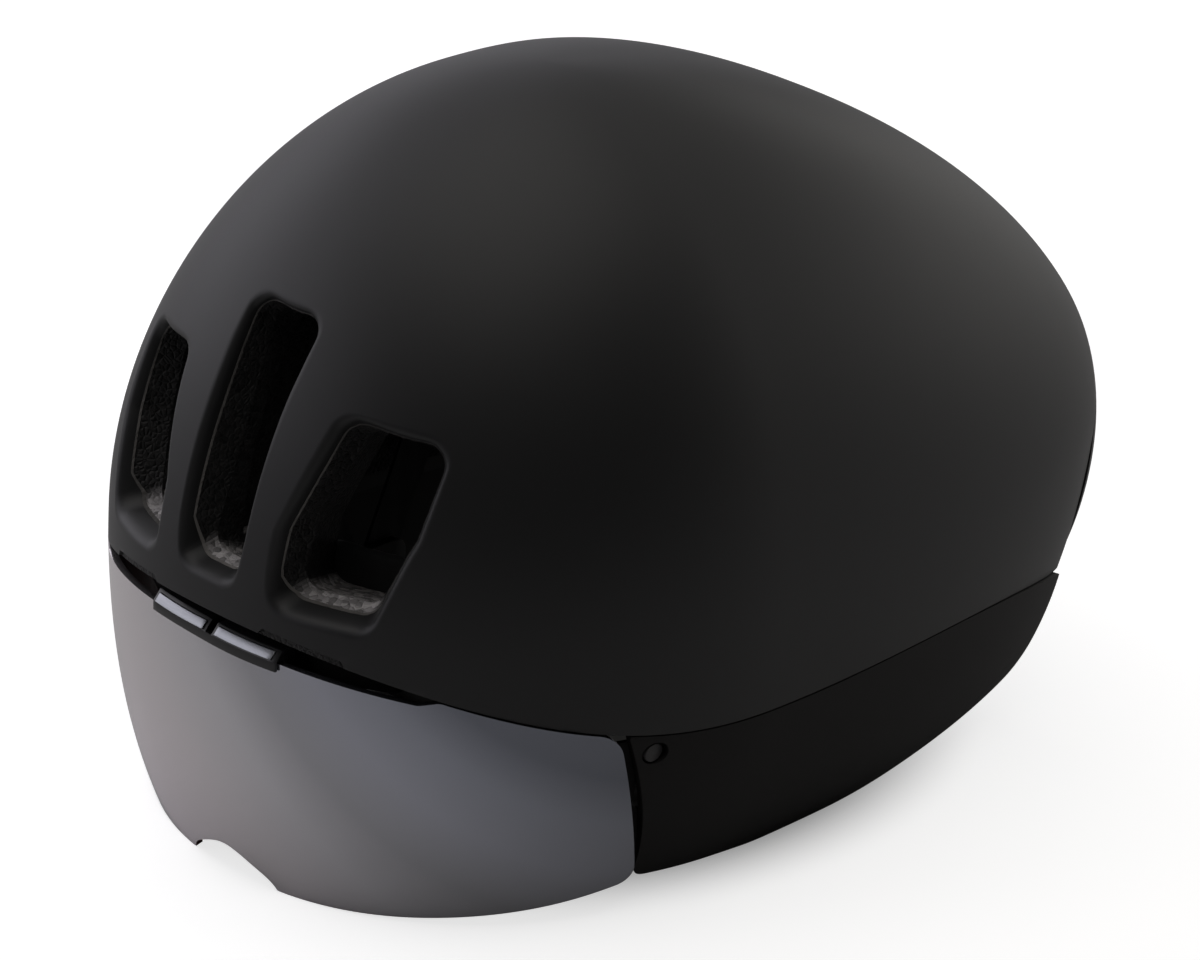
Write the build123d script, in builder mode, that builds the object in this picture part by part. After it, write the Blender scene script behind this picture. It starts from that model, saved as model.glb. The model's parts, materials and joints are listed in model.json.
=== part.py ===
"""Aero time trial helmet: ported shell, foam core, magnetic visor, ear covers, fit system and straps.

Millimetres, +Z up, the brow points along -Y and the wearer's left is +X.
The origin lies on the ground under the middle of the helmet's box.
"""
from build123d import *
from math import copysign, cos, pi, radians, sin
from typing import NamedTuple
import os


class Egg(NamedTuple):
    """Egg-shaped form: a superellipse in plan that shrinks towards its crown."""

    half_width: float
    front: float
    rear: float
    height: float
    level: float
    middle: float
    crown_shift: float
    tuck_share: float
    width_power: float
    front_power: float
    rear_power: float
    front_plan_power: float
    rear_plan_power: float


# Outer form, measured from the widest slice
shell_half_width = 104.0
brow_reach = 117.3
tail_reach = 203.6
dome_height = 126.8
widest_level = 85.3
middle_y = -31.5
crown_shift = 2.9
tail_face_y = 140.1
tail_face_level = 100.0
tail_lean = 17.3

# Walls and clearances
shell_wall = 1.2
bond_gap = 0.15
seam_gap = 0.5
rest_gap = 0.3
slide_gap = 0.2
overrun = 60.0

# Inside of the foam core
head_half_width = 80.0
head_front = 95.0
head_rear = 104.0
head_height = 97.0
head_level = 85.0
head_middle_y = -22.0
duct_depth = 11.0

shell_egg = Egg(shell_half_width, brow_reach, tail_reach, dome_height, widest_level, middle_y,
                crown_shift, 0.317, 1.94, 1.96, 1.59, 2.14, 2.43)
head_egg = Egg(head_half_width, head_front, head_rear, head_height, head_level, head_middle_y,
               0.0, 0.0, 2.2, 2.1, 2.2, 2.2, 2.43)
slice_points = 20
dome_shares = (0.0, 0.25, 0.48, 0.68, 0.83, 0.93, 0.98, 0.9985)
skirt_shares = (0.3, 0.65)

# Rim of the shell seen from the side: shares of the reach in front of the origin and of the widest level
front_span = brow_reach - middle_y
rim_shares = ((-1.0, 0.985), (-0.821, 0.856), (-0.557, 0.721), (0.0, 0.668), (0.577, 0.621), (0.842, 0.504))
rim_tail_drop = 20.0


def bend(value, power):
    """Raise a value to a power and keep its sign."""
    return copysign(abs(value) ** power, value)


def egg_radii(egg, z, inset):
    """Half width, front reach, rear reach and middle of the egg's slice at a height."""
    rise = egg.height - inset if z > egg.level else egg.height
    share = (z - egg.level) / rise
    up, down = min(max(share, 0.0), 1.0), max(-share, 0.0)
    tucked = 1 - egg.tuck_share * down**2
    half = (egg.half_width - inset) * (1 - up**egg.width_power) ** (1 / egg.width_power) * tucked
    front = (egg.front - inset) * (1 - up**egg.front_power) ** (1 / egg.front_power) * (1 + tucked) / 2
    rear = (egg.rear - inset) * (1 - up**egg.rear_power) ** (1 / egg.rear_power) * tucked
    return half, front, rear, egg.middle + egg.crown_shift * share


def ring(half, front, rear, middle, front_power, rear_power):
    """Points of a plan outline whose front and rear halves are superellipses."""
    points = []
    for step in range(slice_points):
        turn = 2 * pi * step / slice_points
        ahead = cos(turn) > 0
        power = 2 / (front_power if ahead else rear_power)
        reach = front if ahead else rear
        points.append((half * bend(sin(turn), power), middle - reach * bend(cos(turn), power)))
    return points


def slice_face(points, z):
    """Flat face inside a smooth closed line through the points, at a height."""
    with BuildSketch(Plane.XY.offset(z)) as flat:
        with BuildLine():
            Spline(*points, periodic=True)
        make_face()
    return flat.sketch


def egg_slices(egg, inset, levels):
    """Faces of the egg, moved in by an inset, at the levels."""
    faces = []
    for z in levels:
        half, front, rear, middle = egg_radii(egg, z, inset)
        outline = ring(half, front, rear, middle, egg.front_plan_power, egg.rear_plan_power)
        faces.append(slice_face(outline, z))
    return faces


def dome_levels(egg, inset):
    """Levels from under the rim to the crown, closer together towards the crown."""
    skirt = [share * egg.level for share in skirt_shares]
    return skirt + [egg.level + share * (egg.height - inset) for share in dome_shares]


def egg_block(egg, inset):
    """Solid that fills the egg, moved in by an inset."""
    with BuildPart() as block:
        loft(egg_slices(egg, inset, dome_levels(egg, inset)))
    return block.part


def under_rim(drop):
    """Side view of all that lies under the rim line lowered by a drop."""
    places = [(share_y * front_span, share_z * widest_level - drop) for share_y, share_z in rim_shares]
    front_y, rear_y = places[0][0] - overrun, places[-1][0] + overrun
    with BuildSketch() as view:
        with BuildLine():
            Spline(*places)
            Polyline(places[-1], (rear_y, places[-1][1] - rim_tail_drop), (rear_y, -overrun),
                     (front_y, -overrun), (front_y, places[0][1]), places[0])
        make_face()
    return view.sketch


def side_block(view):
    """Block as wide as the helmet with the outline of a side view."""
    with BuildPart() as block:
        with BuildSketch(Plane.YZ):
            add(view)
        extrude(amount=shell_half_width + overrun, both=True)
    return block.part


def tail_cut(offset):
    """Slanted plane that cuts the tail off, moved forward by an offset."""
    square = Plane(origin=(0, tail_face_y, tail_face_level), x_dir=(-1, 0, 0), z_dir=(0, 1, 0))
    return square.rotated((-tail_lean, 0, 0)).offset(-offset)


# The blocks that most pieces are cut from
shell_block = egg_block(shell_egg, 0.0)
skin_back_block = egg_block(shell_egg, shell_wall)
core_block = egg_block(shell_egg, shell_wall + bond_gap)
head_block = egg_block(head_egg, 0.0)
duct_block = egg_block(head_egg, -duct_depth)
rim_block = side_block(under_rim(0.0))


# Front air ports: one in the middle and one on each side, with lips that turn in as scoops
probe = 0.5
port_rise = 12.0
lip_depth = 14.0
lip_step = 3.0
duct_reach = 42.0
port_corner = 5.5
centre_port_half_width = 14.2
centre_port_half_height = 40.5
centre_port_level = 130.0
centre_port_shares = ((-0.82, -1.0), (0.82, -1.0), (1.0, 1.0), (-1.0, 1.0))
centre_throat_shares = ((-0.6, -0.78), (0.6, -0.78), (0.82, 0.93), (-0.82, 0.93))
side_port_half_width = 24.0
side_port_half_height = 29.0
side_port_level = 118.0
side_port_x = 41.0
side_port_shares = ((-0.96, -0.97), (-0.86, -0.2), (-0.3, 1.0), (1.05, 0.92), (0.84, 0.0), (0.36, -1.0))
side_throat_shares = ((-0.66, -0.72), (-0.58, -0.1), (-0.1, 0.88), (0.92, 0.82), (0.72, 0.0), (0.28, -0.74))


def skin_y(x, z):
    """Where the shell's front skin stands at a place across and a height."""
    half, front, _, middle = egg_radii(shell_egg, z, 0.0)
    power = shell_egg.front_plan_power
    return middle - front * (1 - abs(x / half) ** power) ** (1 / power)


def skin_plane(x, z):
    """Plane that touches the front skin: its Z points out and its Y runs up the skin."""
    across = Vector(1, (skin_y(x + probe, z) - skin_y(x - probe, z)) / (2 * probe), 0)
    upward = Vector(0, (skin_y(x, z + probe) - skin_y(x, z - probe)) / (2 * probe), 1)
    return Plane(origin=(x, skin_y(x, z), z), x_dir=across, z_dir=across.cross(upward))


def port_face(plane, shares, half_width, half_height, grow):
    """Outline of a port on a plane, with rounded corners, grown by a margin."""
    with BuildSketch(plane) as face:
        with BuildLine():
            Polyline(*[(u * half_width, v * half_height) for u, v in shares], close=True)
        make_face()
        fillet(face.vertices(), port_corner)
        if grow:
            offset(amount=grow)
    return face.sketch


def port_void(plane, mouth_shares, throat_shares, half_width, half_height, grow, reach):
    """Air space of a port: straight through the skin, drawn in as a scoop, then on into the foam."""
    mouth = port_face(plane.offset(-lip_step), mouth_shares, half_width, half_height, grow)
    throat = port_face(plane.offset(-lip_depth), throat_shares, half_width, half_height, grow)
    with BuildPart() as void:
        extrude(mouth, amount=lip_step + port_rise)
        loft([mouth, throat])
        if reach:
            extrude(throat, amount=-reach)
    return void.part


def port_voids(grow, reach):
    """Air spaces of the three ports."""
    centre = port_void(skin_plane(0.0, centre_port_level), centre_port_shares, centre_throat_shares,
                       centre_port_half_width, centre_port_half_height, grow, reach)
    side = port_void(skin_plane(side_port_x, side_port_level), side_port_shares, side_throat_shares,
                     side_port_half_width, side_port_half_height, grow, reach)
    return [centre, side, mirror(side, about=Plane.YZ)]


# Outer shell: a thin moulded skin with its port lips, cut at the rim and at the tail
cap_thickness = 4.0
rim_notch_length = 25.0
rim_notch_height = 1.8
rim_notch_start = 20.5

with BuildPart() as port_lips:
    add(port_voids(shell_wall, 0.0))
    add(shell_block, mode=Mode.INTERSECT)
    add(port_voids(0.0, 0.0), mode=Mode.SUBTRACT)

with BuildPart() as rim_notches:
    add(side_block(under_rim(-rim_notch_height)))
    with BuildSketch():
        for side in (-1, 1):
            with Locations((side * (rim_notch_start + rim_notch_length / 2), -front_span)):
                Rectangle(rim_notch_length, front_span)
    extrude(amount=2 * widest_level, mode=Mode.INTERSECT)

with BuildPart() as outer_shell:
    add(shell_block)
    add([skin_back_block, rim_block, *port_voids(shell_wall / 2, 0.0)], mode=Mode.SUBTRACT)
    split(bisect_by=tail_cut(cap_thickness + seam_gap), keep=Keep.BOTTOM)
    add(port_lips.part)
    add(rim_notches.part, mode=Mode.SUBTRACT)
outer_shell.part.label = "outer_shell"


# Foam core: the head's hollow, grooves over the head, exhaust ducts and the pocket of the fit system
duct_floor = 96.0
centre_duct_width = 24.0
side_duct_width = 22.0
side_duct_x = 38.0
pocket_half_width = 70.0
pocket_front = 20.0
pocket_rear = 108.0
pocket_roof = 88.0
pocket_corner = 30.0
exhaust_floor = 66.0
exhaust_corner = 7.0
centre_exhaust_width = 34.0
centre_exhaust_height = 50.0
side_exhaust_width = 22.0
side_exhaust_height = 40.0
side_exhaust_x = 39.0
exhaust_start = 60.0

with BuildSketch() as exhaust_view:
    with Locations((0, exhaust_floor + centre_exhaust_height / 2)):
        RectangleRounded(centre_exhaust_width, centre_exhaust_height, exhaust_corner)
    for side in (-1, 1):
        with Locations((side * side_exhaust_x, exhaust_floor + side_exhaust_height / 2)):
            RectangleRounded(side_exhaust_width, side_exhaust_height, exhaust_corner)

with BuildPart() as exhaust_ducts:
    with BuildSketch(Plane.XZ.offset(-exhaust_start)):
        add(exhaust_view.sketch)
    extrude(amount=-tail_face_y)

with BuildPart() as head_grooves:
    add(duct_block)
    with BuildSketch(Plane.XY.offset(duct_floor)):
        Rectangle(centre_duct_width, 4 * front_span)
        with Locations((-side_duct_x, 0), (side_duct_x, 0)):
            Rectangle(side_duct_width, 4 * front_span)
    extrude(amount=dome_height, mode=Mode.INTERSECT)

with BuildPart() as fit_pocket:
    with BuildSketch():
        with Locations((0, (pocket_front + pocket_rear) / 2)):
            RectangleRounded(2 * pocket_half_width, pocket_rear - pocket_front, pocket_corner)
    extrude(amount=pocket_roof)

with BuildPart() as foam_form:
    add(core_block)
    add([rim_block, head_block, fit_pocket.part, exhaust_ducts.part], mode=Mode.SUBTRACT)
    split(bisect_by=tail_cut(cap_thickness + seam_gap), keep=Keep.BOTTOM)
    add([head_grooves.part, *port_voids(shell_wall + bond_gap, 0.0)], mode=Mode.SUBTRACT)
    add(port_voids(0.0, duct_reach), mode=Mode.SUBTRACT)


# Tail cap: closes the cut tail and frames the exhaust ports
with BuildPart() as tail_cap:
    add(shell_block)
    split(bisect_by=tail_cut(cap_thickness), keep=Keep.TOP)
    split(bisect_by=tail_cut(0.0), keep=Keep.BOTTOM)
    add([rim_block, exhaust_ducts.part], mode=Mode.SUBTRACT)
tail_cap.part.label = "tail_cap"


# Visor lens: one curved sheet under the brow, with a nose notch
lens_wall = 2.2
lens_setback = 2.0
lens_middle_y = middle_y - lens_setback
lens_half_width = 102.5
lens_reach = 112.0
lens_chin_drop = 10.4
lens_chin_tuck_share = 0.137
lens_top_level = 76.0
lens_brow_power = 2.3
lens_chin_power = 2.15
lens_drop_power = 2.9
lens_level_shares = (-0.03, 0.16, 0.33, 0.5, 0.75, 1.0, 1.12)
brow_gap_height = 75.2
brow_dip_y = -128.0
brow_dip_height = 72.0
brow_dip_run = 10.0
lens_rear_top_y = -88.0
lens_rear_foot_y = -68.6
lens_foot_height = 11.5
lens_foot_shares = ((0.0, 1.0), (0.26, 0.58), (0.6, 0.2), (0.84, 0.0), (1.1, 0.0))
lens_corner = 5.0
nose_half_width = 16.8
nose_height = 9.2
nose_shares = ((-1.02, -0.4), (-0.98, 0.1), (-0.62, 0.62), (0.0, 1.0), (0.62, 0.62), (0.98, 0.1),
               (1.02, -0.4))


def lens_slices(inset, levels):
    """Slices of the visor's curved wall, moved in by an inset."""
    faces = []
    for z in levels:
        depth = max((lens_top_level - z) / lens_top_level, 0.0)
        half = lens_half_width * (1 - lens_chin_tuck_share * depth**2) - inset
        reach = lens_reach - lens_chin_drop * depth**lens_drop_power - inset
        power = lens_brow_power + (lens_chin_power - lens_brow_power) * min(depth, 1.0)
        faces.append(slice_face(ring(half, reach, reach, lens_middle_y, power, power), z))
    return faces


lens_levels = [share * lens_top_level for share in lens_level_shares]
lens_front = lens_middle_y - lens_reach
lens_foot_run = lens_rear_foot_y - lens_front
lens_foot_line = [(lens_rear_foot_y - u * lens_foot_run, v * lens_foot_height) for u, v in lens_foot_shares]

with BuildSketch() as lens_view:
    with BuildLine():
        Spline(*lens_foot_line)
        Polyline(lens_foot_line[-1], (lens_foot_line[-1][0], brow_gap_height),
                 (brow_dip_y, brow_dip_height), (brow_dip_y + brow_dip_run, lens_top_level),
                 (lens_rear_top_y, lens_top_level), lens_foot_line[0])
    make_face()
    add(under_rim(seam_gap), mode=Mode.INTERSECT)
    with Locations((lens_middle_y, lens_top_level / 2)):
        Rectangle(2 * front_span, lens_top_level, mode=Mode.INTERSECT)
    fillet(lens_view.vertices().sort_by(Axis.X)[-2:], lens_corner)

with BuildPart() as visor_lens:
    loft(lens_slices(0.0, lens_levels))
    loft(lens_slices(lens_wall, lens_levels), mode=Mode.SUBTRACT)
    add(side_block(lens_view.sketch), mode=Mode.INTERSECT)
    with BuildSketch(Plane.XZ.offset(overrun)):
        with BuildLine():
            nose_points = [(u * nose_half_width, v * nose_height) for u, v in nose_shares]
            Spline(*nose_points)
            Line(nose_points[-1], nose_points[0])
        make_face()
    extrude(amount=front_span, mode=Mode.SUBTRACT)
visor_lens.part.label = "visor_lens"


# Visor clip: a bar that grips the lens's top edge and carries two steel keeper plates
clip_half_length = 25.0
clip_depth = 3.8
clip_proud = 1.0
clip_foot = 70.0
clip_lip_foot = 72.6
clip_shoulder = 75.4
clip_top = 78.4
clip_lean = 2.6
clip_notch = 2.4
plate_inner_x = 2.4
plate_length = 21.0
plate_wall = 0.5
plate_margin = 0.5


def lens_band(outer, inner, levels, lean=0.0):
    """Curved bar that follows the lens between two insets, its top slice leaning back."""
    upright = lens_slices(outer, levels[:-1])
    leaning = lens_slices(outer + lean, levels[-1:])
    with BuildPart() as band:
        loft(upright + leaning, ruled=True)
        loft(lens_slices(inner, (levels[0] - clip_proud, levels[-1] + clip_proud)), mode=Mode.SUBTRACT)
    return band.part


def front_range(x_low, x_high, low, high):
    """Block over a range across and a range of heights, in the front half of the helmet."""
    with BuildPart() as block:
        with BuildSketch(Plane.XY.offset(low)):
            with Locations(((x_low + x_high) / 2, -front_span)):
                Rectangle(x_high - x_low, front_span)
        extrude(amount=high - low)
    return block.part


clip_back = lens_wall + clip_depth
slot_back = lens_wall + bond_gap
with BuildPart() as visor_clip:
    add(lens_band(-clip_proud, clip_back, (clip_foot, clip_shoulder, clip_top), clip_lean))
    add(front_range(-clip_half_length, clip_half_length, clip_foot, clip_top), mode=Mode.INTERSECT)
    add([lens_band(-bond_gap, slot_back, (clip_foot - clip_proud, clip_shoulder)),
         lens_band(-2 * clip_proud, slot_back, (clip_foot - clip_proud, clip_lip_foot)),
         front_range(-clip_notch / 2, clip_notch / 2, clip_shoulder, clip_top + clip_proud)],
        mode=Mode.SUBTRACT)
visor_clip.part.label = "visor_clip"

with BuildPart() as clip_plate_left:
    add(lens_band(-clip_proud - plate_wall, clip_back, (clip_shoulder, clip_top), clip_lean))
    add(lens_band(-clip_proud, clip_back, (clip_shoulder, clip_top), clip_lean), mode=Mode.SUBTRACT)
    add(front_range(plate_inner_x, plate_inner_x + plate_length, clip_shoulder + plate_margin,
                    clip_top - plate_margin), mode=Mode.INTERSECT)
clip_plate_left.part.label = "clip_plate_left"


# Brow dock: a bar under the brow edge that holds the visor by two magnets
dock_inset = 10.5
dock_depth = 10.0
dock_half_length = 50.0
dock_foot = 69.6
magnet_radius = 3.5
magnet_x = 14.0
magnet_level = 73.2
magnet_reach = 4.0


def shell_band(outer, inner, low, high):
    """Curved bar that follows the shell's plan between two insets and two heights."""
    levels = (low, (low + high) / 2, high)
    with BuildPart() as band:
        loft(egg_slices(shell_egg, outer, levels))
        loft(egg_slices(shell_egg, inner, levels), mode=Mode.SUBTRACT)
    return band.part


magnet_edge_share = (magnet_x + magnet_radius) / (lens_half_width - clip_back)
clip_back_share = (1 - magnet_edge_share**lens_brow_power) ** (1 / lens_brow_power)
clip_back_y = lens_middle_y - (lens_reach - clip_back) * clip_back_share
magnet_front_y = clip_back_y + rest_gap + slide_gap

with BuildPart() as brow_dock:
    add(shell_band(dock_inset, dock_inset + dock_depth, dock_foot, widest_level))
    add(front_range(-dock_half_length, dock_half_length, dock_foot, widest_level), mode=Mode.INTERSECT)
    add(side_block(under_rim(bond_gap)), mode=Mode.INTERSECT)
    with BuildSketch(Plane.XZ.offset(-magnet_front_y)):
        with Locations((-magnet_x, magnet_level), (magnet_x, magnet_level)):
            Circle(magnet_radius)
    extrude(amount=-magnet_reach, mode=Mode.SUBTRACT)
brow_dock.part.label = "brow_dock"

with BuildPart() as dock_magnet_left:
    with BuildSketch(Plane.XZ.offset(-magnet_front_y)):
        with Locations((magnet_x, magnet_level)):
            Circle(magnet_radius)
    extrude(amount=-magnet_reach)
dock_magnet_left.part.label = "dock_magnet_left"


# Ear covers: soft panels that carry the shell's sides down past the ears
cover_wall = 3.0
cover_base_level = 57.0
cover_tuck_share = 0.225
cover_level_shares = (-0.02, 0.25, 0.5, 0.75, 1.0, 1.15)
cover_front_top_y = -82.0
cover_front_foot_y = -64.5
cover_foot_height = 8.4
cover_rest_front_y = -12.0
cover_rest_rear_y = 32.0
cover_tail_y = 102.0
cover_tail_height = 20.0
cover_tip_y = 116.0
cover_tip_height = 46.0
cover_corners = (8.0, 60.0, 90.0, 20.0, 8.0)


def cover_slices(inset, levels):
    """Slices of the ear covers' curved wall: the shell's plan, drawn in towards the ground."""
    half, front, rear, middle = egg_radii(shell_egg, cover_base_level, inset)
    faces = []
    for z in levels:
        depth = max((cover_base_level - z) / cover_base_level, 0.0)
        width = half * (1 - cover_tuck_share * depth**2)
        faces.append(slice_face(
            ring(width, front, rear, middle, shell_egg.front_plan_power, shell_egg.rear_plan_power), z))
    return faces


def cover_wall_part(outer, inner, levels):
    """The ear covers' curved wall between two insets."""
    with BuildPart() as wall:
        loft(cover_slices(outer, levels))
        loft(cover_slices(inner, levels), mode=Mode.SUBTRACT)
    return wall.part


def left_side(view):
    """Block on the wearer's left with the outline of a side view."""
    with BuildPart() as block:
        with BuildSketch(Plane.YZ):
            add(view)
        extrude(amount=shell_half_width + overrun)
    return block.part


cover_levels = [share * cover_base_level for share in cover_level_shares]
cover_places = [(cover_front_foot_y, cover_foot_height), (cover_rest_front_y, 0.0), (cover_rest_rear_y, 0.0),
                (cover_tail_y, cover_tail_height), (cover_tip_y, cover_tip_height)]

with BuildSketch() as cover_view:
    with BuildLine():
        FilletPolyline((cover_front_top_y, cover_levels[-1]), *cover_places, (cover_tip_y, cover_levels[-1]),
                       radius=list(cover_corners))
        Line((cover_tip_y, cover_levels[-1]), (cover_front_top_y, cover_levels[-1]))
    make_face()
    add(under_rim(seam_gap), mode=Mode.INTERSECT)

# Stud in the front of each cover, an oval head seen through a clear hole
stud_y = -72.5
stud_level = 54.0
stud_length = 6.5
stud_height = 5.0
stud_clearance = 0.7
stud_recess = 0.4


def wall_x(y, z, inset):
    """Distance from the middle plane to the cover's wall at a place along the helmet and a height."""
    half, front, rear, middle = egg_radii(shell_egg, cover_base_level, inset)
    depth = max((cover_base_level - z) / cover_base_level, 0.0)
    reach, power = (front, shell_egg.front_plan_power) if y < middle else (rear, shell_egg.rear_plan_power)
    spread = (1 - abs((y - middle) / reach) ** power) ** (1 / power)
    return half * spread * (1 - cover_tuck_share * depth**2)


rail_inset = cover_wall + rest_gap
rail_wall = 2.5
rail_front_y = -74.0
rail_rear_y = 104.0
rail_drop = 14.0
rail_flange_width = 11.0
rail_flange_wall = 2.5
rail_level_shares = (0.54, 0.86, 1.18)
rail_levels = [share * cover_base_level for share in rail_level_shares]


def rim_strip(top, foot):
    """Side view of a strip along the rim between two drops."""
    with BuildSketch() as view:
        add(under_rim(top))
        add(under_rim(foot), mode=Mode.SUBTRACT)
        with Locations(((rail_front_y + rail_rear_y) / 2, cover_base_level)):
            Rectangle(rail_rear_y - rail_front_y, 2 * cover_base_level, mode=Mode.INTERSECT)
    return view.sketch


with BuildPart() as ear_cover_left:
    add(cover_wall_part(0.0, cover_wall, cover_levels))
    add(left_side(cover_view.sketch), mode=Mode.INTERSECT)
    with BuildSketch(Plane.YZ):
        with Locations((stud_y, stud_level)):
            Ellipse(stud_length / 2 + stud_clearance, stud_height / 2 + stud_clearance)
    extrude(amount=shell_half_width, mode=Mode.SUBTRACT)
ear_cover_left.part.label = "ear_cover_left"

with BuildPart() as rail_flange:
    add(cover_wall_part(rail_inset, rail_inset + rail_flange_width, rail_levels))
    add(left_side(rim_strip(0.0, rail_flange_wall)), mode=Mode.INTERSECT)

with BuildPart() as cover_rail_left:
    add(cover_wall_part(rail_inset, rail_inset + rail_wall, rail_levels))
    add(left_side(rim_strip(0.0, rail_drop)), mode=Mode.INTERSECT)
    add(rail_flange.part)
cover_rail_left.part.label = "cover_rail_left"

with BuildPart() as cover_stud_left:
    with BuildSketch(Plane.YZ.offset(wall_x(stud_y, stud_level, rail_inset + rail_wall / 2))):
        with Locations((stud_y, stud_level)):
            Ellipse(stud_length / 2, stud_height / 2)
    extrude(amount=rail_wall / 2 + rest_gap + cover_wall - stud_recess)
    add(cover_rail_left.part, mode=Mode.SUBTRACT)
cover_stud_left.part.label = "cover_stud_left"


# Fit system: a cradle behind the head, hung on a height strap and drawn in by a dial and two racks
cradle_middle_y = 5.0
cradle_radius = 68.0
cradle_wall = 2.5
cradle_foot = 34.0
cradle_height = 40.0
cradle_half_turn = 48.0
wedge_reach = 2 * cradle_radius
wedge_x = wedge_reach * sin(radians(cradle_half_turn))
wedge_y = cradle_middle_y + wedge_reach * cos(radians(cradle_half_turn))
cradle_window_height = 11.0
cradle_window_turn = 15.0
cradle_window_start = 24.0
cradle_rail = 5.0
boss_half_width = 28.0
boss_foot = 38.0
boss_back_y = 75.8
boss_front_y = 64.0
neck_half_width = 9.0
neck_top = 80.0
dial_level = 50.0

with BuildPart() as cradle:
    with BuildSketch(Plane.XY.offset(cradle_foot)):
        with Locations((0, cradle_middle_y)):
            Circle(cradle_radius + cradle_wall)
            Circle(cradle_radius, mode=Mode.SUBTRACT)
        with BuildLine():
            Polyline((0, cradle_middle_y), (-wedge_x, wedge_y), (wedge_x, wedge_y), close=True)
        make_face(mode=Mode.INTERSECT)
    extrude(amount=cradle_height)
    window_rise = (cradle_height - 2 * cradle_window_height) / 3
    for turn in (-cradle_window_start - cradle_window_turn / 2, cradle_window_start + cradle_window_turn / 2):
        ahead, aside = cos(radians(turn)), sin(radians(turn))
        plane = Plane(origin=(0, cradle_middle_y, cradle_foot), x_dir=(ahead, -aside, 0),
                      z_dir=(aside, ahead, 0))
        with BuildSketch(plane):
            for step in range(2):
                middle = window_rise * (step + 1) + cradle_window_height * (step + 0.5)
                with Locations((0, middle)):
                    SlotOverall(2 * cradle_radius * sin(radians(cradle_window_turn / 2)) + cradle_rail,
                                cradle_window_height)
        extrude(amount=cradle_radius + 2 * cradle_wall, mode=Mode.SUBTRACT)
    with BuildSketch(Plane.XZ.offset(-boss_back_y)):
        with Locations((0, dial_level)):
            SlotOverall(2 * boss_half_width, 2 * (dial_level - boss_foot))
        with Locations((0, (dial_level + neck_top) / 2)):
            Rectangle(2 * neck_half_width, neck_top - dial_level)
    extrude(amount=boss_back_y - boss_front_y)
    with BuildSketch(Plane.XY.offset(cradle_foot)):
        with Locations((0, cradle_middle_y)):
            Circle(cradle_radius)
    extrude(amount=2 * cradle_height, mode=Mode.SUBTRACT)
cradle.part.label = "cradle"

# Height strap: rises from the cradle into a guide plugged into the foam
strap_half_width = 8.0
strap_wall = 1.6
strap_foot = 66.0
strap_top = 113.0
guide_half_width = 17.0
guide_foot = 93.0
guide_height = 18.0
guide_lip = 1.2
guide_back_wall = 2.6
guide_lip_reach = 3.0
peg_radius = 2.4
peg_length = 7.0
peg_x = 14.5
peg_gap = 0.1

with BuildPart() as height_strap:
    with BuildSketch(Plane.XZ.offset(-boss_back_y)):
        with Locations((0, (strap_foot + strap_top) / 2)):
            SlotOverall(strap_top - strap_foot, 2 * strap_half_width, rotation=90)
    extrude(amount=-strap_wall)
height_strap.part.label = "height_strap"

guide_front_y = boss_back_y - slide_gap - guide_lip
guide_back_y = boss_back_y + strap_wall + slide_gap + guide_back_wall

with BuildPart() as height_guide:
    with BuildSketch(Plane.XY.offset(guide_foot)):
        with Locations((0, (guide_front_y + guide_back_y) / 2)):
            Rectangle(2 * guide_half_width, guide_back_y - guide_front_y)
        with Locations((0, boss_back_y + strap_wall / 2)):
            Rectangle(2 * (strap_half_width + slide_gap), strap_wall + 2 * slide_gap, mode=Mode.SUBTRACT)
        with Locations((0, guide_front_y)):
            Rectangle(2 * (strap_half_width - guide_lip_reach), 2 * (guide_lip + slide_gap),
                      mode=Mode.SUBTRACT)
    extrude(amount=guide_height)
    with BuildSketch(Plane.XZ.offset(-guide_back_y)):
        with Locations((-peg_x, guide_foot + guide_height / 2), (peg_x, guide_foot + guide_height / 2)):
            Circle(peg_radius)
    extrude(amount=-peg_length)
height_guide.part.label = "height_guide"

guide_seat_front_y = guide_front_y - guide_height
guide_seat_back_y = guide_back_y + peg_gap

with BuildPart() as guide_seat:
    with BuildSketch(Plane.XY.offset(guide_foot - slide_gap)):
        with Locations((0, (guide_seat_front_y + guide_seat_back_y) / 2)):
            Rectangle(2 * (guide_half_width + slide_gap), guide_seat_back_y - guide_seat_front_y)
    extrude(amount=guide_height + 2 * slide_gap)
    with BuildSketch(Plane.XZ.offset(-guide_back_y)):
        with Locations((-peg_x, guide_foot + guide_height / 2), (peg_x, guide_foot + guide_height / 2)):
            Circle(peg_radius + peg_gap)
    extrude(amount=-(peg_length + peg_gap))

# Dial: a housing on the cradle, a pinion on the knob's spindle and a rack above and below it
housing_half_length = 27.0
housing_half_height = 12.0
housing_depth = 9.0
housing_wall = 1.6
pinion_teeth = 10
tooth_module = 1.0
tooth_height_share = 0.9
tooth_width_share = 0.36
tooth_tip_share = 0.55
rack_back = 2.6
rack_wall = 3.0
rack_free_end = 11.5
knob_radius = 15.0
knob_depth = 8.0
knob_scallops = 8
scallop_radius = 2.6
knob_dish = 2.0
knob_dish_radius = 9.5
spindle_radius = 2.2
running_gap = 0.1

pitch_radius = pinion_teeth * tooth_module / 2
tooth_height = tooth_height_share * tooth_module
tooth_pitch = pi * tooth_module
rack_front_y = boss_back_y + housing_wall + slide_gap
rack_base = pitch_radius + tooth_height
housing_back_y = boss_back_y + housing_depth

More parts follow.
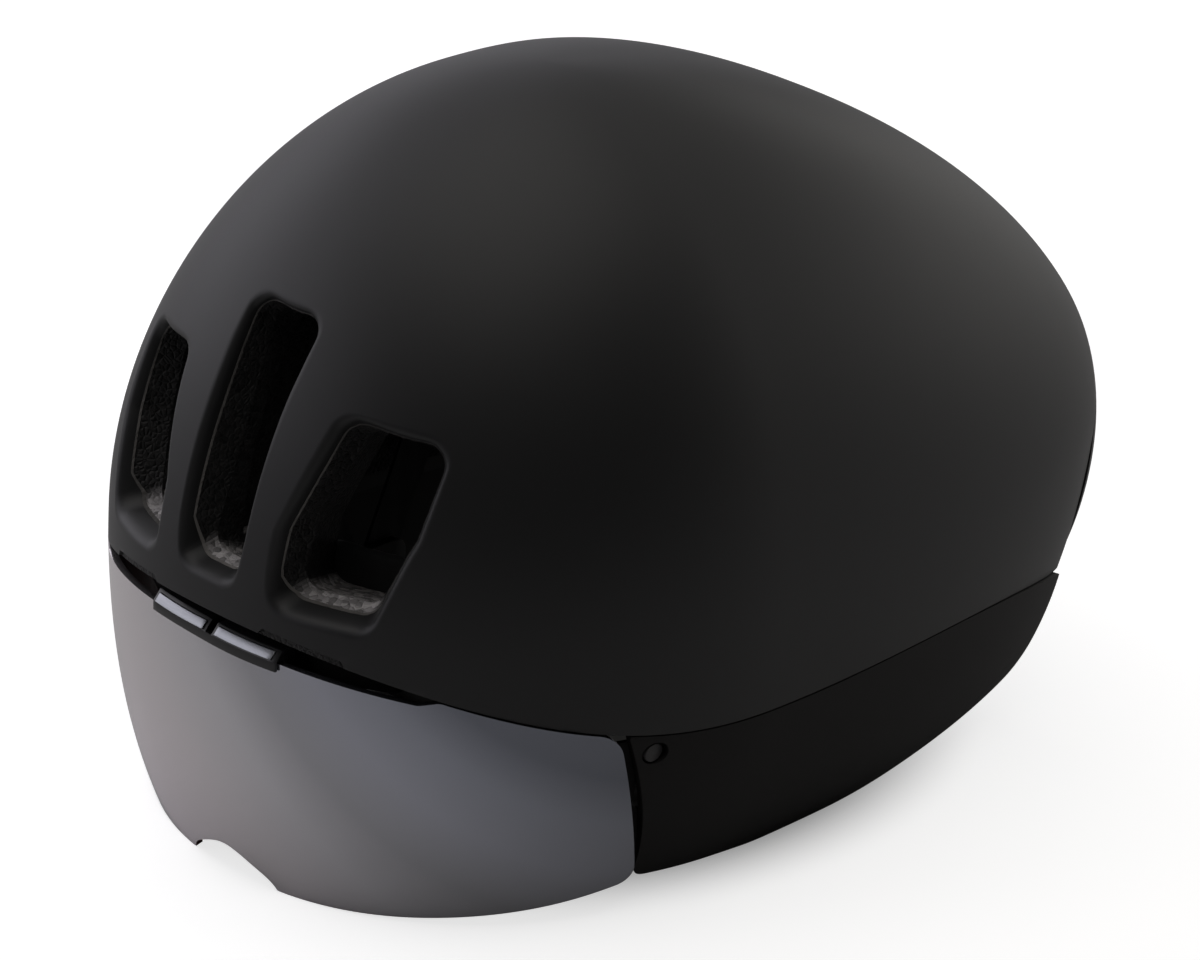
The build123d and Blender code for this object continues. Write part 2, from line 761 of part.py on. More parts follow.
with BuildPart() as dial_housing:
    with BuildSketch(Plane.XZ.offset(-boss_back_y)):
        with Locations((0, dial_level)):
            SlotOverall(2 * housing_half_length, 2 * housing_half_height)
    extrude(amount=-housing_depth)
    with BuildSketch(Plane.XZ.offset(-(boss_back_y + housing_wall))):
        with Locations((0, dial_level)):
            SlotOverall(2 * (housing_half_length - housing_wall), 2 * (housing_half_height - housing_wall))
    extrude(amount=-(housing_depth - 2 * housing_wall), mode=Mode.SUBTRACT)
    with BuildSketch(Plane.XZ.offset(-(boss_back_y + housing_wall))):
        for side in (-1, 1):
            with Locations((side * housing_half_length, dial_level + side * (rack_base + rack_back / 2))):
                Rectangle(housing_half_length, rack_back + 4 * slide_gap)
    extrude(amount=-(rack_wall + 2 * slide_gap), mode=Mode.SUBTRACT)
    with BuildSketch(Plane.XZ.offset(-boss_back_y)):
        with Locations((0, dial_level)):
            Circle(spindle_radius + running_gap)
    extrude(amount=-housing_depth, mode=Mode.SUBTRACT)
dial_housing.part.label = "dial_housing"


tooth_root_half = tooth_width_share * tooth_pitch * (1 - tooth_tip_share / 2)
tooth_tip_half = tooth_width_share * tooth_pitch * tooth_tip_share / 2

with BuildSketch() as tooth:
    with BuildLine():
        Polyline((-tooth_root_half, -2 * tooth_height), (-tooth_root_half, -tooth_height),
                 (-tooth_tip_half, tooth_height), (tooth_tip_half, tooth_height),
                 (tooth_root_half, -tooth_height), (tooth_root_half, -2 * tooth_height), close=True)
    make_face()

with BuildPart() as dial_pinion:
    with BuildSketch(Plane.XZ.offset(-rack_front_y)):
        with Locations((0, dial_level)):
            Circle(pitch_radius - tooth_height)
            for step in range(pinion_teeth):
                turn = Location((0, 0), 360 / pinion_teeth * (step + 0.5))
                with Locations(turn * Location((0, pitch_radius))):
                    add(tooth.sketch)
    extrude(amount=-rack_wall)
    with BuildSketch(Plane.XZ.offset(-(boss_back_y + rest_gap))):
        with Locations((0, dial_level)):
            Circle(spindle_radius)
    extrude(amount=-housing_depth)
dial_pinion.part.label = "dial_pinion"

with BuildPart() as dial_knob:
    with BuildSketch(Plane.XZ.offset(-(housing_back_y + rest_gap))):
        with Locations((0, dial_level)):
            Circle(knob_radius)
            with PolarLocations(knob_radius, knob_scallops):
                Circle(scallop_radius, mode=Mode.SUBTRACT)
    extrude(amount=-knob_depth)
    with BuildSketch(Plane.XZ.offset(-(housing_back_y + rest_gap + knob_depth))):
        with Locations((0, dial_level)):
            Circle(knob_dish_radius)
    extrude(amount=knob_dish, mode=Mode.SUBTRACT)
dial_knob.part.label = "dial_knob"

# Belts: each ends in a rack through the housing, above the pinion on the left and below it on the right
belt_height = 14.0
belt_wall = 1.6
belt_start_x = 37.5
belt_bend = 28.5
belt_front_y = 13.0
rack_first_tooth = -2
rack_last_tooth = 5

rack_middle_y = rack_front_y + rack_wall / 2

with BuildPart() as belt_left:
    with BuildSketch(Plane.XZ.offset(-rack_front_y)):
        with Locations(((belt_start_x - rack_free_end) / 2, dial_level + rack_base + rack_back / 2)):
            Rectangle(belt_start_x + rack_free_end, rack_back)
        for step in range(rack_first_tooth, rack_last_tooth + 1):
            with Locations(Location((step * tooth_pitch, dial_level + pitch_radius), 180)):
                add(tooth.sketch)
    extrude(amount=-rack_wall)
    with BuildSketch(Plane.XY.offset(dial_level + rack_base + rack_back - belt_height)):
        with BuildLine():
            FilletPolyline((belt_start_x, rack_middle_y), (belt_start_x + belt_bend, rack_middle_y),
                           (belt_start_x + belt_bend, belt_front_y), radius=belt_bend - belt_wall)
        trace(line_width=belt_wall)
    extrude(amount=belt_height)
belt_left.part.label = "belt_left"

with BuildPart() as belt_right:
    add(belt_left.part.rotate(Axis((0, 0, dial_level), (0, 1, 0)), 180))
belt_right.part.label = "belt_right"


# Comfort pads: on the cradle, across the brow and along the crown between the air grooves
cradle_pad_wall = 4.0
cradle_pad_start = 8.0
cradle_pad_end = 42.0
cradle_pad_margin = 5.0
pad_round = 1.5
head_pad_wall = 6.0
brow_pad_half_length = 56.0
brow_pad_foot = 75.0
brow_pad_height = 24.0
crown_pad_inner_x = 13.5
crown_pad_outer_x = 25.5
crown_pad_front_y = -62.0
crown_pad_rear_y = 44.0
crown_pad_floor = 130.0

with BuildPart() as cradle_pad_left:
    with BuildSketch(Plane.XY.offset(cradle_foot + cradle_pad_margin)):
        pad_outer = cradle_radius - rest_gap
        with BuildLine():
            outer_arc = CenterArc((0, cradle_middle_y), pad_outer, 90 - cradle_pad_end,
                                  cradle_pad_end - cradle_pad_start)
            inner_arc = CenterArc((0, cradle_middle_y), pad_outer - cradle_pad_wall, 90 - cradle_pad_end,
                                  cradle_pad_end - cradle_pad_start)
            Line(outer_arc @ 0, inner_arc @ 0)
            Line(outer_arc @ 1, inner_arc @ 1)
        make_face()
    extrude(amount=cradle_height - 2 * cradle_pad_margin)
    chamfer(cradle_pad_left.edges(), pad_round)
cradle_pad_left.part.label = "cradle_pad_left"

with BuildPart() as pad_layer:
    add(egg_block(head_egg, rest_gap))
    add(egg_block(head_egg, rest_gap + head_pad_wall), mode=Mode.SUBTRACT)

with BuildPart() as brow_pad:
    add(pad_layer.part)
    add(front_range(-brow_pad_half_length, brow_pad_half_length, brow_pad_foot,
                    brow_pad_foot + brow_pad_height), mode=Mode.INTERSECT)
brow_pad.part.label = "brow_pad"

crown_pad_place = ((crown_pad_inner_x + crown_pad_outer_x) / 2, (crown_pad_front_y + crown_pad_rear_y) / 2)

with BuildPart() as crown_pad_left:
    add(pad_layer.part)
    with BuildSketch(Plane.XY.offset(crown_pad_floor)):
        with Locations(crown_pad_place):
            SlotOverall(crown_pad_rear_y - crown_pad_front_y, crown_pad_outer_x - crown_pad_inner_x,
                        rotation=90)
    extrude(amount=dome_height, mode=Mode.INTERSECT)
crown_pad_left.part.label = "crown_pad_left"


# Harness: anchors plugged into the foam, webbing folded down inside, dividers and a side release buckle
web_width = 13.0
web_wall = 1.2
anchor_radius = 8.0
anchor_wall = 2.4
anchor_level = 72.0
anchor_pin_radius = 3.0
anchor_pin_length = 8.0
front_anchor_y = -46.0
rear_anchor_y = 1.0
divider_y = -22.0
divider_level = 27.0
divider_half_width = 15.0
divider_half_height = 12.0
divider_wall = 3.0
divider_corner = 4.0
divider_slot = 2.6
web_end_share = 0.17
web_rest = 0.7
web_bend = 6.0
web_floor_x = 52.0
buckle_width = 22.0
buckle_height = 8.0
buckle_corner = 2.5
socket_length = 25.0
socket_end_x = -20.0
prong_width = 16.0
prong_height = 4.0
prong_length = 17.0
prong_split = 4.0
tongue_base_length = 14.7


def head_wall_x(y):
    """Distance from the middle plane to the wall of the head's hollow."""
    half, front, rear, middle = egg_radii(head_egg, head_level, 0.0)
    reach, power = (front, head_egg.front_plan_power) if y < middle else (rear, head_egg.rear_plan_power)
    return half * (1 - abs((y - middle) / reach) ** power) ** (1 / power)


anchor_back_x = head_wall_x(front_anchor_y - anchor_radius) - rest_gap
web_x = anchor_back_x - anchor_wall - web_wall / 2
divider_x = web_x - web_wall / 2 - divider_wall / 2
chin_x = divider_x - divider_wall / 2 - web_wall / 2


def anchor(y):
    """Round anchor whose pin plugs into the foam wall."""
    with BuildPart() as part:
        with BuildSketch(Plane.YZ.offset(anchor_back_x)):
            with Locations((y, anchor_level)):
                Circle(anchor_radius)
        extrude(amount=-anchor_wall)
        with BuildSketch(Plane.YZ.offset(anchor_back_x)):
            with Locations((y, anchor_level)):
                Circle(anchor_pin_radius)
        extrude(amount=anchor_pin_length)
    return part.part


def anchor_seat(y):
    """Hole in the foam for an anchor's pin."""
    with BuildPart() as seat:
        with BuildSketch(Plane.YZ.offset(anchor_back_x)):
            with Locations((y, anchor_level)):
                Circle(anchor_pin_radius + peg_gap)
        extrude(amount=anchor_pin_length + peg_gap)
    return seat.part


def side_web(y):
    """Flat webbing that hangs from an anchor to the divider."""
    with BuildPart() as part:
        with BuildSketch(Plane.YZ.offset(web_x - web_wall / 2)):
            with BuildLine():
                Line((y, anchor_level), (divider_y + (y - divider_y) * web_end_share, divider_level))
            trace(line_width=web_width)
        extrude(amount=web_wall)
    return part.part


with BuildPart() as front_anchor_left:
    add(anchor(front_anchor_y))
front_anchor_left.part.label = "front_anchor_left"

with BuildPart() as rear_anchor_left:
    add(anchor(rear_anchor_y))
rear_anchor_left.part.label = "rear_anchor_left"

with BuildPart() as front_web_left:
    add(side_web(front_anchor_y))
front_web_left.part.label = "front_web_left"

with BuildPart() as rear_web_left:
    add(side_web(rear_anchor_y))
    add(front_web_left.part, mode=Mode.SUBTRACT)
rear_web_left.part.label = "rear_web_left"

with BuildPart() as divider_left:
    with BuildSketch(Plane.YZ.offset(divider_x - divider_wall / 2)):
        with Locations((divider_y, divider_level)):
            RectangleRounded(2 * divider_half_width, 2 * divider_half_height, divider_corner)
            with Locations((0, -divider_half_height / 2), (0, divider_half_height / 2)):
                Rectangle(web_width + divider_slot, divider_slot, mode=Mode.SUBTRACT)
    extrude(amount=divider_wall)
divider_left.part.label = "divider_left"

buckle_end_x = socket_end_x + socket_length + rest_gap + tongue_base_length

with BuildPart() as chin_web_left:
    with BuildSketch(Plane.XZ.offset(-divider_y - web_width / 2)):
        web_level = web_rest + web_wall / 2
        with BuildLine():
            FilletPolyline((chin_x, divider_level), (chin_x, web_level + web_bend), (web_floor_x, web_level),
                           (buckle_end_x, web_level), radius=web_bend)
        trace(line_width=web_wall)
    extrude(amount=web_width)
chin_web_left.part.label = "chin_web_left"

with BuildPart() as buckle_socket:
    with BuildSketch(Plane.XY.offset(web_rest)):
        with Locations((socket_end_x + socket_length / 2, divider_y)):
            RectangleRounded(socket_length, buckle_width, buckle_corner)
    extrude(amount=buckle_height)
    with BuildSketch(Plane.YZ.offset(socket_end_x + socket_length)):
        with Locations((divider_y, web_rest + buckle_height / 2)):
            Rectangle(prong_width + 2 * slide_gap, prong_height + 2 * slide_gap)
    extrude(amount=-(prong_length + rest_gap), mode=Mode.SUBTRACT)
buckle_socket.part.label = "buckle_socket"

with BuildPart() as buckle_tongue:
    with BuildSketch(Plane.XY.offset(web_rest)):
        with Locations((buckle_end_x - tongue_base_length / 2, divider_y)):
            RectangleRounded(tongue_base_length, buckle_width, buckle_corner)
    extrude(amount=buckle_height)
    with BuildSketch(Plane.XY.offset(web_rest + (buckle_height - prong_height) / 2)):
        with Locations((socket_end_x + socket_length + (buckle_corner - prong_length) / 2, divider_y)):
            Rectangle(prong_length + buckle_corner, prong_width)
            Rectangle(prong_length + buckle_corner, prong_split, mode=Mode.SUBTRACT)
    extrude(amount=prong_height)
buckle_tongue.part.label = "buckle_tongue"


# Foam core with the seats of the pegs and pins, moulded as six blocks that are bonded edge to edge
brow_joint_y = -70.0
nape_joint_y = 45.0
crown_joint_level = exhaust_floor + centre_exhaust_height

left_seats = [anchor_seat(front_anchor_y), anchor_seat(rear_anchor_y)]
right_seats = [mirror(seat, about=Plane.YZ) for seat in left_seats]

with BuildPart() as foam_core:
    add(foam_form.part)
    add([guide_seat.part, *left_seats, *right_seats], mode=Mode.SUBTRACT)

core_low = (-2 * front_span, -2 * front_span, 0)
core_high = (2 * front_span, 2 * front_span, 2 * front_span)


def foam_block(low, high):
    """The part of the foam core that lies in a box between two corners."""
    middle = [(a + b) / 2 for a, b in zip(low, high)]
    with BuildPart() as block:
        add(foam_core.part)
        with Locations(tuple(middle)):
            Box(*[b - a for a, b in zip(low, high)], mode=Mode.INTERSECT)
    return block.part


with BuildPart() as foam_brow:
    add(foam_block(core_low, (core_high[0], brow_joint_y, core_high[2])))
foam_brow.part.label = "foam_brow"

with BuildPart() as foam_crown:
    add(foam_block((core_low[0], brow_joint_y, crown_joint_level), (core_high[0], nape_joint_y, core_high[2])))
foam_crown.part.label = "foam_crown"

with BuildPart() as foam_tail:
    add(foam_block((core_low[0], nape_joint_y, crown_joint_level), core_high))
foam_tail.part.label = "foam_tail"

with BuildPart() as foam_nape:
    add(foam_block((core_low[0], nape_joint_y, 0), (core_high[0], core_high[1], crown_joint_level)))
foam_nape.part.label = "foam_nape"

with BuildPart() as foam_side_left:
    add(foam_block((0, brow_joint_y, 0), (core_high[0], nape_joint_y, crown_joint_level)))
foam_side_left.part.label = "foam_side_left"


# Export, with the right side as mirror images
middle_parts = [outer_shell, foam_brow, foam_crown, foam_tail, foam_nape, tail_cap, visor_lens, visor_clip,
                brow_dock, cradle, height_strap, height_guide, dial_housing, dial_pinion, dial_knob,
                belt_left, belt_right, brow_pad, buckle_socket, buckle_tongue]
left_parts = [foam_side_left, clip_plate_left, dock_magnet_left, ear_cover_left, cover_rail_left, cover_stud_left,
              cradle_pad_left, crown_pad_left, front_anchor_left, rear_anchor_left, front_web_left,
              rear_web_left, divider_left, chin_web_left]

os.makedirs("parts", exist_ok=True)
for piece in middle_parts + left_parts:
    export_step(piece.part, f"parts/{piece.part.label}.step")
for piece in left_parts:
    twin = mirror(piece.part, about=Plane.YZ)
    twin.label = piece.part.label.replace("_left", "_right")
    export_step(twin, f"parts/{twin.label}.step")
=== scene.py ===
"""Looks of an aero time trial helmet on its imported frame.

Metres, +Z up, the brow points along -Y and the wearer's left is +X.
"""
import json
import logging
from collections.abc import Callable, Sequence
from dataclasses import dataclass, replace
from enum import Enum
from functools import cached_property
from math import acos, copysign, cos, exp, pi, radians, sin, tan

import bmesh
import bpy
import numpy as np
from mathutils import Matrix, Vector, noise

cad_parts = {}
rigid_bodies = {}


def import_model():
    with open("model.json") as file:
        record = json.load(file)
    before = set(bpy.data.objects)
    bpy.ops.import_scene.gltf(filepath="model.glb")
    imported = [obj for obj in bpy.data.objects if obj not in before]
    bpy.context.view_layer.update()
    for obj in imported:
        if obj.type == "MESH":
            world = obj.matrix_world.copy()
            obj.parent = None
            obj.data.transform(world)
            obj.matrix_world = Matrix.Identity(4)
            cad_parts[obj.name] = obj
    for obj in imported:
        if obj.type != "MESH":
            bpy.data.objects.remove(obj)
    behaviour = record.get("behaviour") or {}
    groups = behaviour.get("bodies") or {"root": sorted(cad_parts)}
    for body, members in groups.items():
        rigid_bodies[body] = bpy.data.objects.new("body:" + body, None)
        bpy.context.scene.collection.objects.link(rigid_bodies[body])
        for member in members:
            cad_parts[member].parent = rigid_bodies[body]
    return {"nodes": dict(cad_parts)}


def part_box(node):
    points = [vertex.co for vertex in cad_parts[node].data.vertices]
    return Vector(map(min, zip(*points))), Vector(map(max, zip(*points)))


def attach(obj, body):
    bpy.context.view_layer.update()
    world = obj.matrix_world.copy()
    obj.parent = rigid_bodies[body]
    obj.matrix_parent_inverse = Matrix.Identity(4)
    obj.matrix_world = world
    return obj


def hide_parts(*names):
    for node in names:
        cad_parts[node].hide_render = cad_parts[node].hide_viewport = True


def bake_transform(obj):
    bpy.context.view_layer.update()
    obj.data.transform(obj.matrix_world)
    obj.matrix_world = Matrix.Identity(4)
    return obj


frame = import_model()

log = logging.getLogger("helmet")
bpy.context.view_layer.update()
WHITE = (1.0, 1.0, 1.0, 1.0)
MM = 0.001
# Metres up to which two corners are one.
MERGE = 1e-6
# Least length to divide by.
TINY = 1e-9
# Value of a field well outside a cut, in millimetres.
FAR = 100.0
# Degrees up to which neighbouring faces of a solid count as one flat face.
FLAT = 0.5
# Degrees above which an edge of a thickened sheet is rounded.
SHEET_CORNER = 55.0
# Place along the helmet of the upright line that its sheets stand round, in millimetres.
AXIS_Y = -30.0
# Values of a pattern at which a finish has its dark and its light tone.
TONE_PLACES = (0.3, 0.7)
BMesh = bmesh.types.BMesh
BMFace = bmesh.types.BMFace
BMVert = bmesh.types.BMVert
Socket = bpy.types.NodeSocket
Pair = tuple[float, float]
Pairs = tuple[Pair, ...]
Triple = tuple[float, float, float]
Field = Callable[[np.ndarray], np.ndarray]
Inputs = dict[str | int, object]
Material = bpy.types.Material


class Body(Enum):
    """Bodies that the pieces ride on."""

    HELMET = "helmet"
    VISOR = "visor"
    COVER_LEFT = "cover_left"
    COVER_RIGHT = "cover_right"
    CRADLE = "cradle_body"
    DIAL = "dial"
    BELT_LEFT = "belt_left_body"
    BELT_RIGHT = "belt_right_body"
    BUCKLE_TONGUE = "buckle_tongue_body"


class Side(Enum):
    """Sides of the wearer, with the sign of their X."""

    LEFT = 1
    RIGHT = -1

    @property
    def word(self) -> str:
        """Word that ends the names of this side's nodes."""
        return self.name.lower()


def bend(value: float, power: float) -> float:
    """Raise a value to a power and keep its sign."""
    return copysign(abs(value) ** power, value)


@dataclass(frozen=True)
class Egg:
    """Egg-shaped form: a superellipse in plan that shrinks towards its crown, as in the solids."""

    half_width: float = 104.0
    front: float = 117.3
    rear: float = 203.6
    height: float = 126.8
    level: float = 85.3
    middle: float = -31.5
    crown_shift: float = 2.9
    tuck_share: float = 0.317
    width_power: float = 1.94
    front_power: float = 1.96
    rear_power: float = 1.59
    front_plan_power: float = 2.14
    rear_plan_power: float = 2.43

    def radii(self, z: float) -> tuple[float, float, float, float]:
        """Measure the slice at a height.

        Args:
            z: Height of the slice in millimetres.

        Returns:
            Half width, front reach, rear reach and the place of the middle along the helmet.
        """
        share = (z - self.level) / self.height
        up, down = min(max(share, 0.0), 1.0), max(-share, 0.0)
        tucked = 1 - self.tuck_share * down**2
        half = self.half_width * (1 - up**self.width_power) ** (1 / self.width_power) * tucked
        front = self.front * (1 - up**self.front_power) ** (1 / self.front_power) * (1 + tucked) / 2
        rear = self.rear * (1 - up**self.rear_power) ** (1 / self.rear_power) * tucked
        return half, front, rear, self.middle + self.crown_shift * share

    def place(self, turn: float, z: float) -> Vector:
        """Find a point of the form.

        Args:
            turn: Angle round the form, 0 at the brow and growing to the wearer's left.
            z: Height in millimetres.

        Returns:
            The point in millimetres.
        """
        half, front, rear, middle = self.radii(z)
        ahead = cos(turn) > 0
        power = 2 / (self.front_plan_power if ahead else self.rear_plan_power)
        reach = front if ahead else rear
        return Vector((half * bend(sin(turn), power), middle - reach * bend(cos(turn), power), z))

    def project(self, point: Vector) -> Vector:
        """Move a point within its slice onto the form."""
        half, front, rear, middle = self.radii(point.z)
        if half <= 0 or point.z >= self.level + self.height:
            return point
        ahead = point.y < middle
        reach = front if ahead else rear
        power = self.front_plan_power if ahead else self.rear_plan_power
        across, along = abs(point.x / half), abs((point.y - middle) / reach)
        spread = (across**power + along**power) ** (1 / power)
        if spread <= 0:
            return point
        return Vector((point.x / spread, middle + (point.y - middle) / spread, point.z))

    def skin_y(self, x: float, z: float) -> float:
        """Place along the helmet of the front skin at a place across and a height."""
        half, front, _, middle = self.radii(z)
        power = self.front_plan_power
        return middle - front * (1 - abs(x / half) ** power) ** (1 / power)


@dataclass(frozen=True)
class SmoothLine:
    """Smooth curve of height along the helmet through a few places, straight beyond its ends."""

    places: Pairs
    end_slope: float = 0.0

    def slopes(self) -> np.ndarray:
        """Slopes at the places of the natural cubic spline through them."""
        y, z = np.array(self.places, float).T
        gap, rise = np.diff(y), np.diff(z) / np.diff(y)
        matrix = np.zeros((len(y), len(y)))
        right = np.zeros(len(y))
        matrix[0, :2], right[0] = (2, 1), 3 * rise[0]
        matrix[-1, -2:], right[-1] = (1, 2), 3 * rise[-1]
        for i in range(1, len(y) - 1):
            matrix[i, i - 1 : i + 2] = gap[i], 2 * (gap[i - 1] + gap[i]), gap[i - 1]
            right[i] = 3 * (gap[i] * rise[i - 1] + gap[i - 1] * rise[i])
        return np.linalg.solve(matrix, right)

    def height(self, along: np.ndarray) -> np.ndarray:
        """Heights of the curve at places along the helmet."""
        y, z = np.array(self.places, float).T
        slope = self.slopes()
        at = np.clip(along, y[0], y[-1])
        i = np.clip(np.searchsorted(y, at) - 1, 0, len(y) - 2)
        gap = y[i + 1] - y[i]
        t = (at - y[i]) / gap
        curve = ((2 * t**3 - 3 * t**2 + 1) * z[i] + (t**3 - 2 * t**2 + t) * gap * slope[i]
                 + (3 * t**2 - 2 * t**3) * z[i + 1] + (t**3 - t**2) * gap * slope[i + 1])
        return curve + np.maximum(along - y[-1], 0.0) * self.end_slope


EGG = Egg()
RIM_SHARES: Pairs = ((-1.0, 0.985), (-0.821, 0.856), (-0.557, 0.721), (0.0, 0.668), (0.577, 0.621),
                     (0.842, 0.504))
RIM_TAIL_SLOPE = -20.0 / 60.0
RIM = SmoothLine(tuple((u * (EGG.front - EGG.middle), v * EGG.level) for u, v in RIM_SHARES),
                 RIM_TAIL_SLOPE)


@dataclass(frozen=True)
class Outline:
    """Closed outline in two coordinates with corners rounded by arcs."""

    corners: Pairs
    radii: tuple[float, ...]
    arc_steps: int = 8
    side_steps: int = 12

    def points(self) -> np.ndarray:
        """Sample the outline with the same number of points on each side and each arc.

        Returns:
            The points in order, one row each.
        """
        corners = [np.array(c, float) for c in self.corners]
        arcs = []
        for i, corner in enumerate(corners):
            back = corners[i - 1] - corner
            ahead = corners[(i + 1) % len(corners)] - corner
            back, ahead = back / np.linalg.norm(back), ahead / np.linalg.norm(ahead)
            half_angle = acos(max(-1.0, min(1.0, float(back @ ahead)))) / 2
            radius = self.radii[i % len(self.radii)]
            run = radius / tan(half_angle) if radius else 0.0
            middle = (back + ahead) / np.linalg.norm(back + ahead)
            centre = corner + middle * (radius / sin(half_angle))
            start, stop = corner + back * run, corner + ahead * run
            arc = []
            for step in range(self.arc_steps + 1):
                reach = start + (stop - start) * (step / self.arc_steps) - centre
                length = np.linalg.norm(reach)
                arc.append(centre + reach / length * radius if radius and length else corner)
            arcs.append(arc)
        rows: list[np.ndarray] = []
        for i, arc in enumerate(arcs):
            rows += arc
            following = arcs[(i + 1) % len(arcs)][0]
            for step in range(1, self.side_steps):
                rows.append(arc[-1] + (following - arc[-1]) * (step / self.side_steps))
        return np.array(rows)


def smooth_curve(places: Sequence[Pair], steps: int = 8) -> np.ndarray:
    """Sample the smooth curve through a few places in a plane.

    Args:
        places: Places that the curve goes through.
        steps: Points from one place to the next.

    Returns:
        Points of the curve in order, one row each.
    """
    knots = np.array(places, float)
    run = np.concatenate(([0.0], np.cumsum(np.hypot(*np.diff(knots, axis=0).T))))
    stretches = [np.linspace(a, b, steps, endpoint=False) for a, b in zip(run, run[1:])]
    at = np.concatenate(stretches + [run[-1:]])
    return np.column_stack([SmoothLine(tuple(zip(run, line))).height(at) for line in knots.T])


def round_corner(first: np.ndarray, second: np.ndarray, radius: float) -> np.ndarray:
    """Join two fields at a corner with a rounding, both positive inside."""
    short = np.hypot(np.maximum(radius - first, 0), np.maximum(radius - second, 0))
    rounded = (first < radius) & (second < radius)
    return np.where(rounded, radius - short, np.minimum(first, second))


def inside_distance(outline: np.ndarray, across: np.ndarray, up: np.ndarray) -> np.ndarray:
    """Measure how far points lie inside a closed outline.

    Args:
        outline: Points of the outline, one row each.
        across: First coordinates of the points to measure.
        up: Second coordinates of the points to measure.

    Returns:
        Distances to the outline, positive inside it.
    """
    best = np.full(len(across), np.inf)
    inside = np.zeros(len(across), bool)
    for a, b in zip(outline, np.roll(outline, -1, axis=0)):
        run = b - a
        length = float(run @ run)
        if length == 0:
            continue
        share = np.clip(((across - a[0]) * run[0] + (up - a[1]) * run[1]) / length, 0, 1)
        off = np.hypot(across - a[0] - share * run[0], up - a[1] - share * run[1])
        best = np.minimum(best, off)
        crosses = (a[1] > up) != (b[1] > up)
        with np.errstate(divide="ignore", invalid="ignore"):
            where = a[0] + (up - a[1]) / (b[1] - a[1]) * run[0]
        inside ^= crosses & (across < where)
    return np.where(inside, best, -best)


def cut_away(bm: BMesh, keep: Field) -> None:
    """Cut a mesh along the zero line of a field and delete what lies where it is negative.

    Args:
        bm: Mesh to cut, in millimetres.
        keep: Field of points, positive where the mesh stays.
    """
    places = np.array([v.co for v in bm.verts])
    values = {v: float(x) for v, x in zip(bm.verts, keep(places))}
    for edge in list(bm.edges):
        a, b = edge.verts
        low, high = values[a], values[b]
        if low * high < 0:
            _, vert = bmesh.utils.edge_split(edge, a, low / (low - high))
            values[vert] = 0.0
    for face in list(bm.faces):
        rim = [v for v in face.verts if values[v] == 0.0]
        if len(rim) == 2 and not any(set(e.verts) == set(rim) for e in face.edges):
            bmesh.utils.face_split(face, rim[0], rim[1])
    gone = [f for f in bm.faces if sum(values[v] for v in f.verts) < 0]
    bmesh.ops.delete(bm, geom=gone, context="FACES")
    bmesh.ops.delete(bm, geom=[v for v in bm.verts if not v.link_faces], context="VERTS")


def sharpen(bm: BMesh, limit: float = 32.0) -> None:
    """Shade a mesh smooth, except over edges that turn more than a limit in degrees."""
    for face in bm.faces:
        face.smooth = True
    for edge in bm.edges:
        edge.smooth = len(edge.link_faces) == 2 and edge.calc_face_angle(0.0) < radians(limit)


def bevel_sharp(bm: BMesh, width: float, limit: float = 40.0) -> None:
    """Round a mesh's sharp edges with two faces each.

    Args:
        bm: Mesh in millimetres.
        width: Width of the rounding in millimetres.
        limit: Angle in degrees above which an edge is sharp.
    """
    edges = [e for e in bm.edges
             if len(e.link_faces) == 2 and e.calc_face_angle(0.0) > radians(limit)]
    bmesh.ops.bevel(bm, geom=edges, offset=width, segments=2, profile=0.5, affect="EDGES",
                    clamp_overlap=True, material=-1)


def thicken(bm: BMesh, wall: float, rounding: float) -> None:
    """Give a sheet a wall on its inner side, round its edges and shade it."""
    bmesh.ops.solidify(bm, geom=bm.faces[:], thickness=wall)
    bevel_sharp(bm, rounding, SHEET_CORNER)
    sharpen(bm)


def cut_flat(bm: BMesh, place: Sequence[float], normal: Sequence[float],
             clear: bool = False) -> None:
    """Cut a mesh along a plane and, if asked, clear what lies beyond it."""
    bmesh.ops.bisect_plane(bm, geom=bm.verts[:] + bm.edges[:] + bm.faces[:], plane_co=place,
                           plane_no=normal, clear_outer=clear)


def feed(node: bpy.types.Node, inputs: Inputs) -> None:
    """Join sockets to a node's inputs and set values on them, by the inputs' names or numbers."""
    for key, value in inputs.items():
        if isinstance(value, Socket):
            node.id_data.links.new(value, node.inputs[key])
        else:
            node.inputs[key].default_value = value


class Nodes:
    """Builder of a node tree."""

    def __init__(self, tree: bpy.types.NodeTree) -> None:
        """Start from the nodes that a new tree has."""
        self.tree = tree

    def give(self, output: str, kind: str, inputs: Inputs, **settings: object) -> Socket:
        """Add a node and give one of its outputs.

        Args:
            output: Name of the output.
            kind: Kind of node, without the word ShaderNode.
            inputs: Sockets to join or values to set, by the inputs' names or numbers.
            settings: Properties of the node.

        Returns:
            The output.
        """
        node = self.tree.nodes.new("ShaderNode" + kind)
        for key, value in settings.items():
            setattr(node, key, value)
        feed(node, inputs)
        return node.outputs[output]


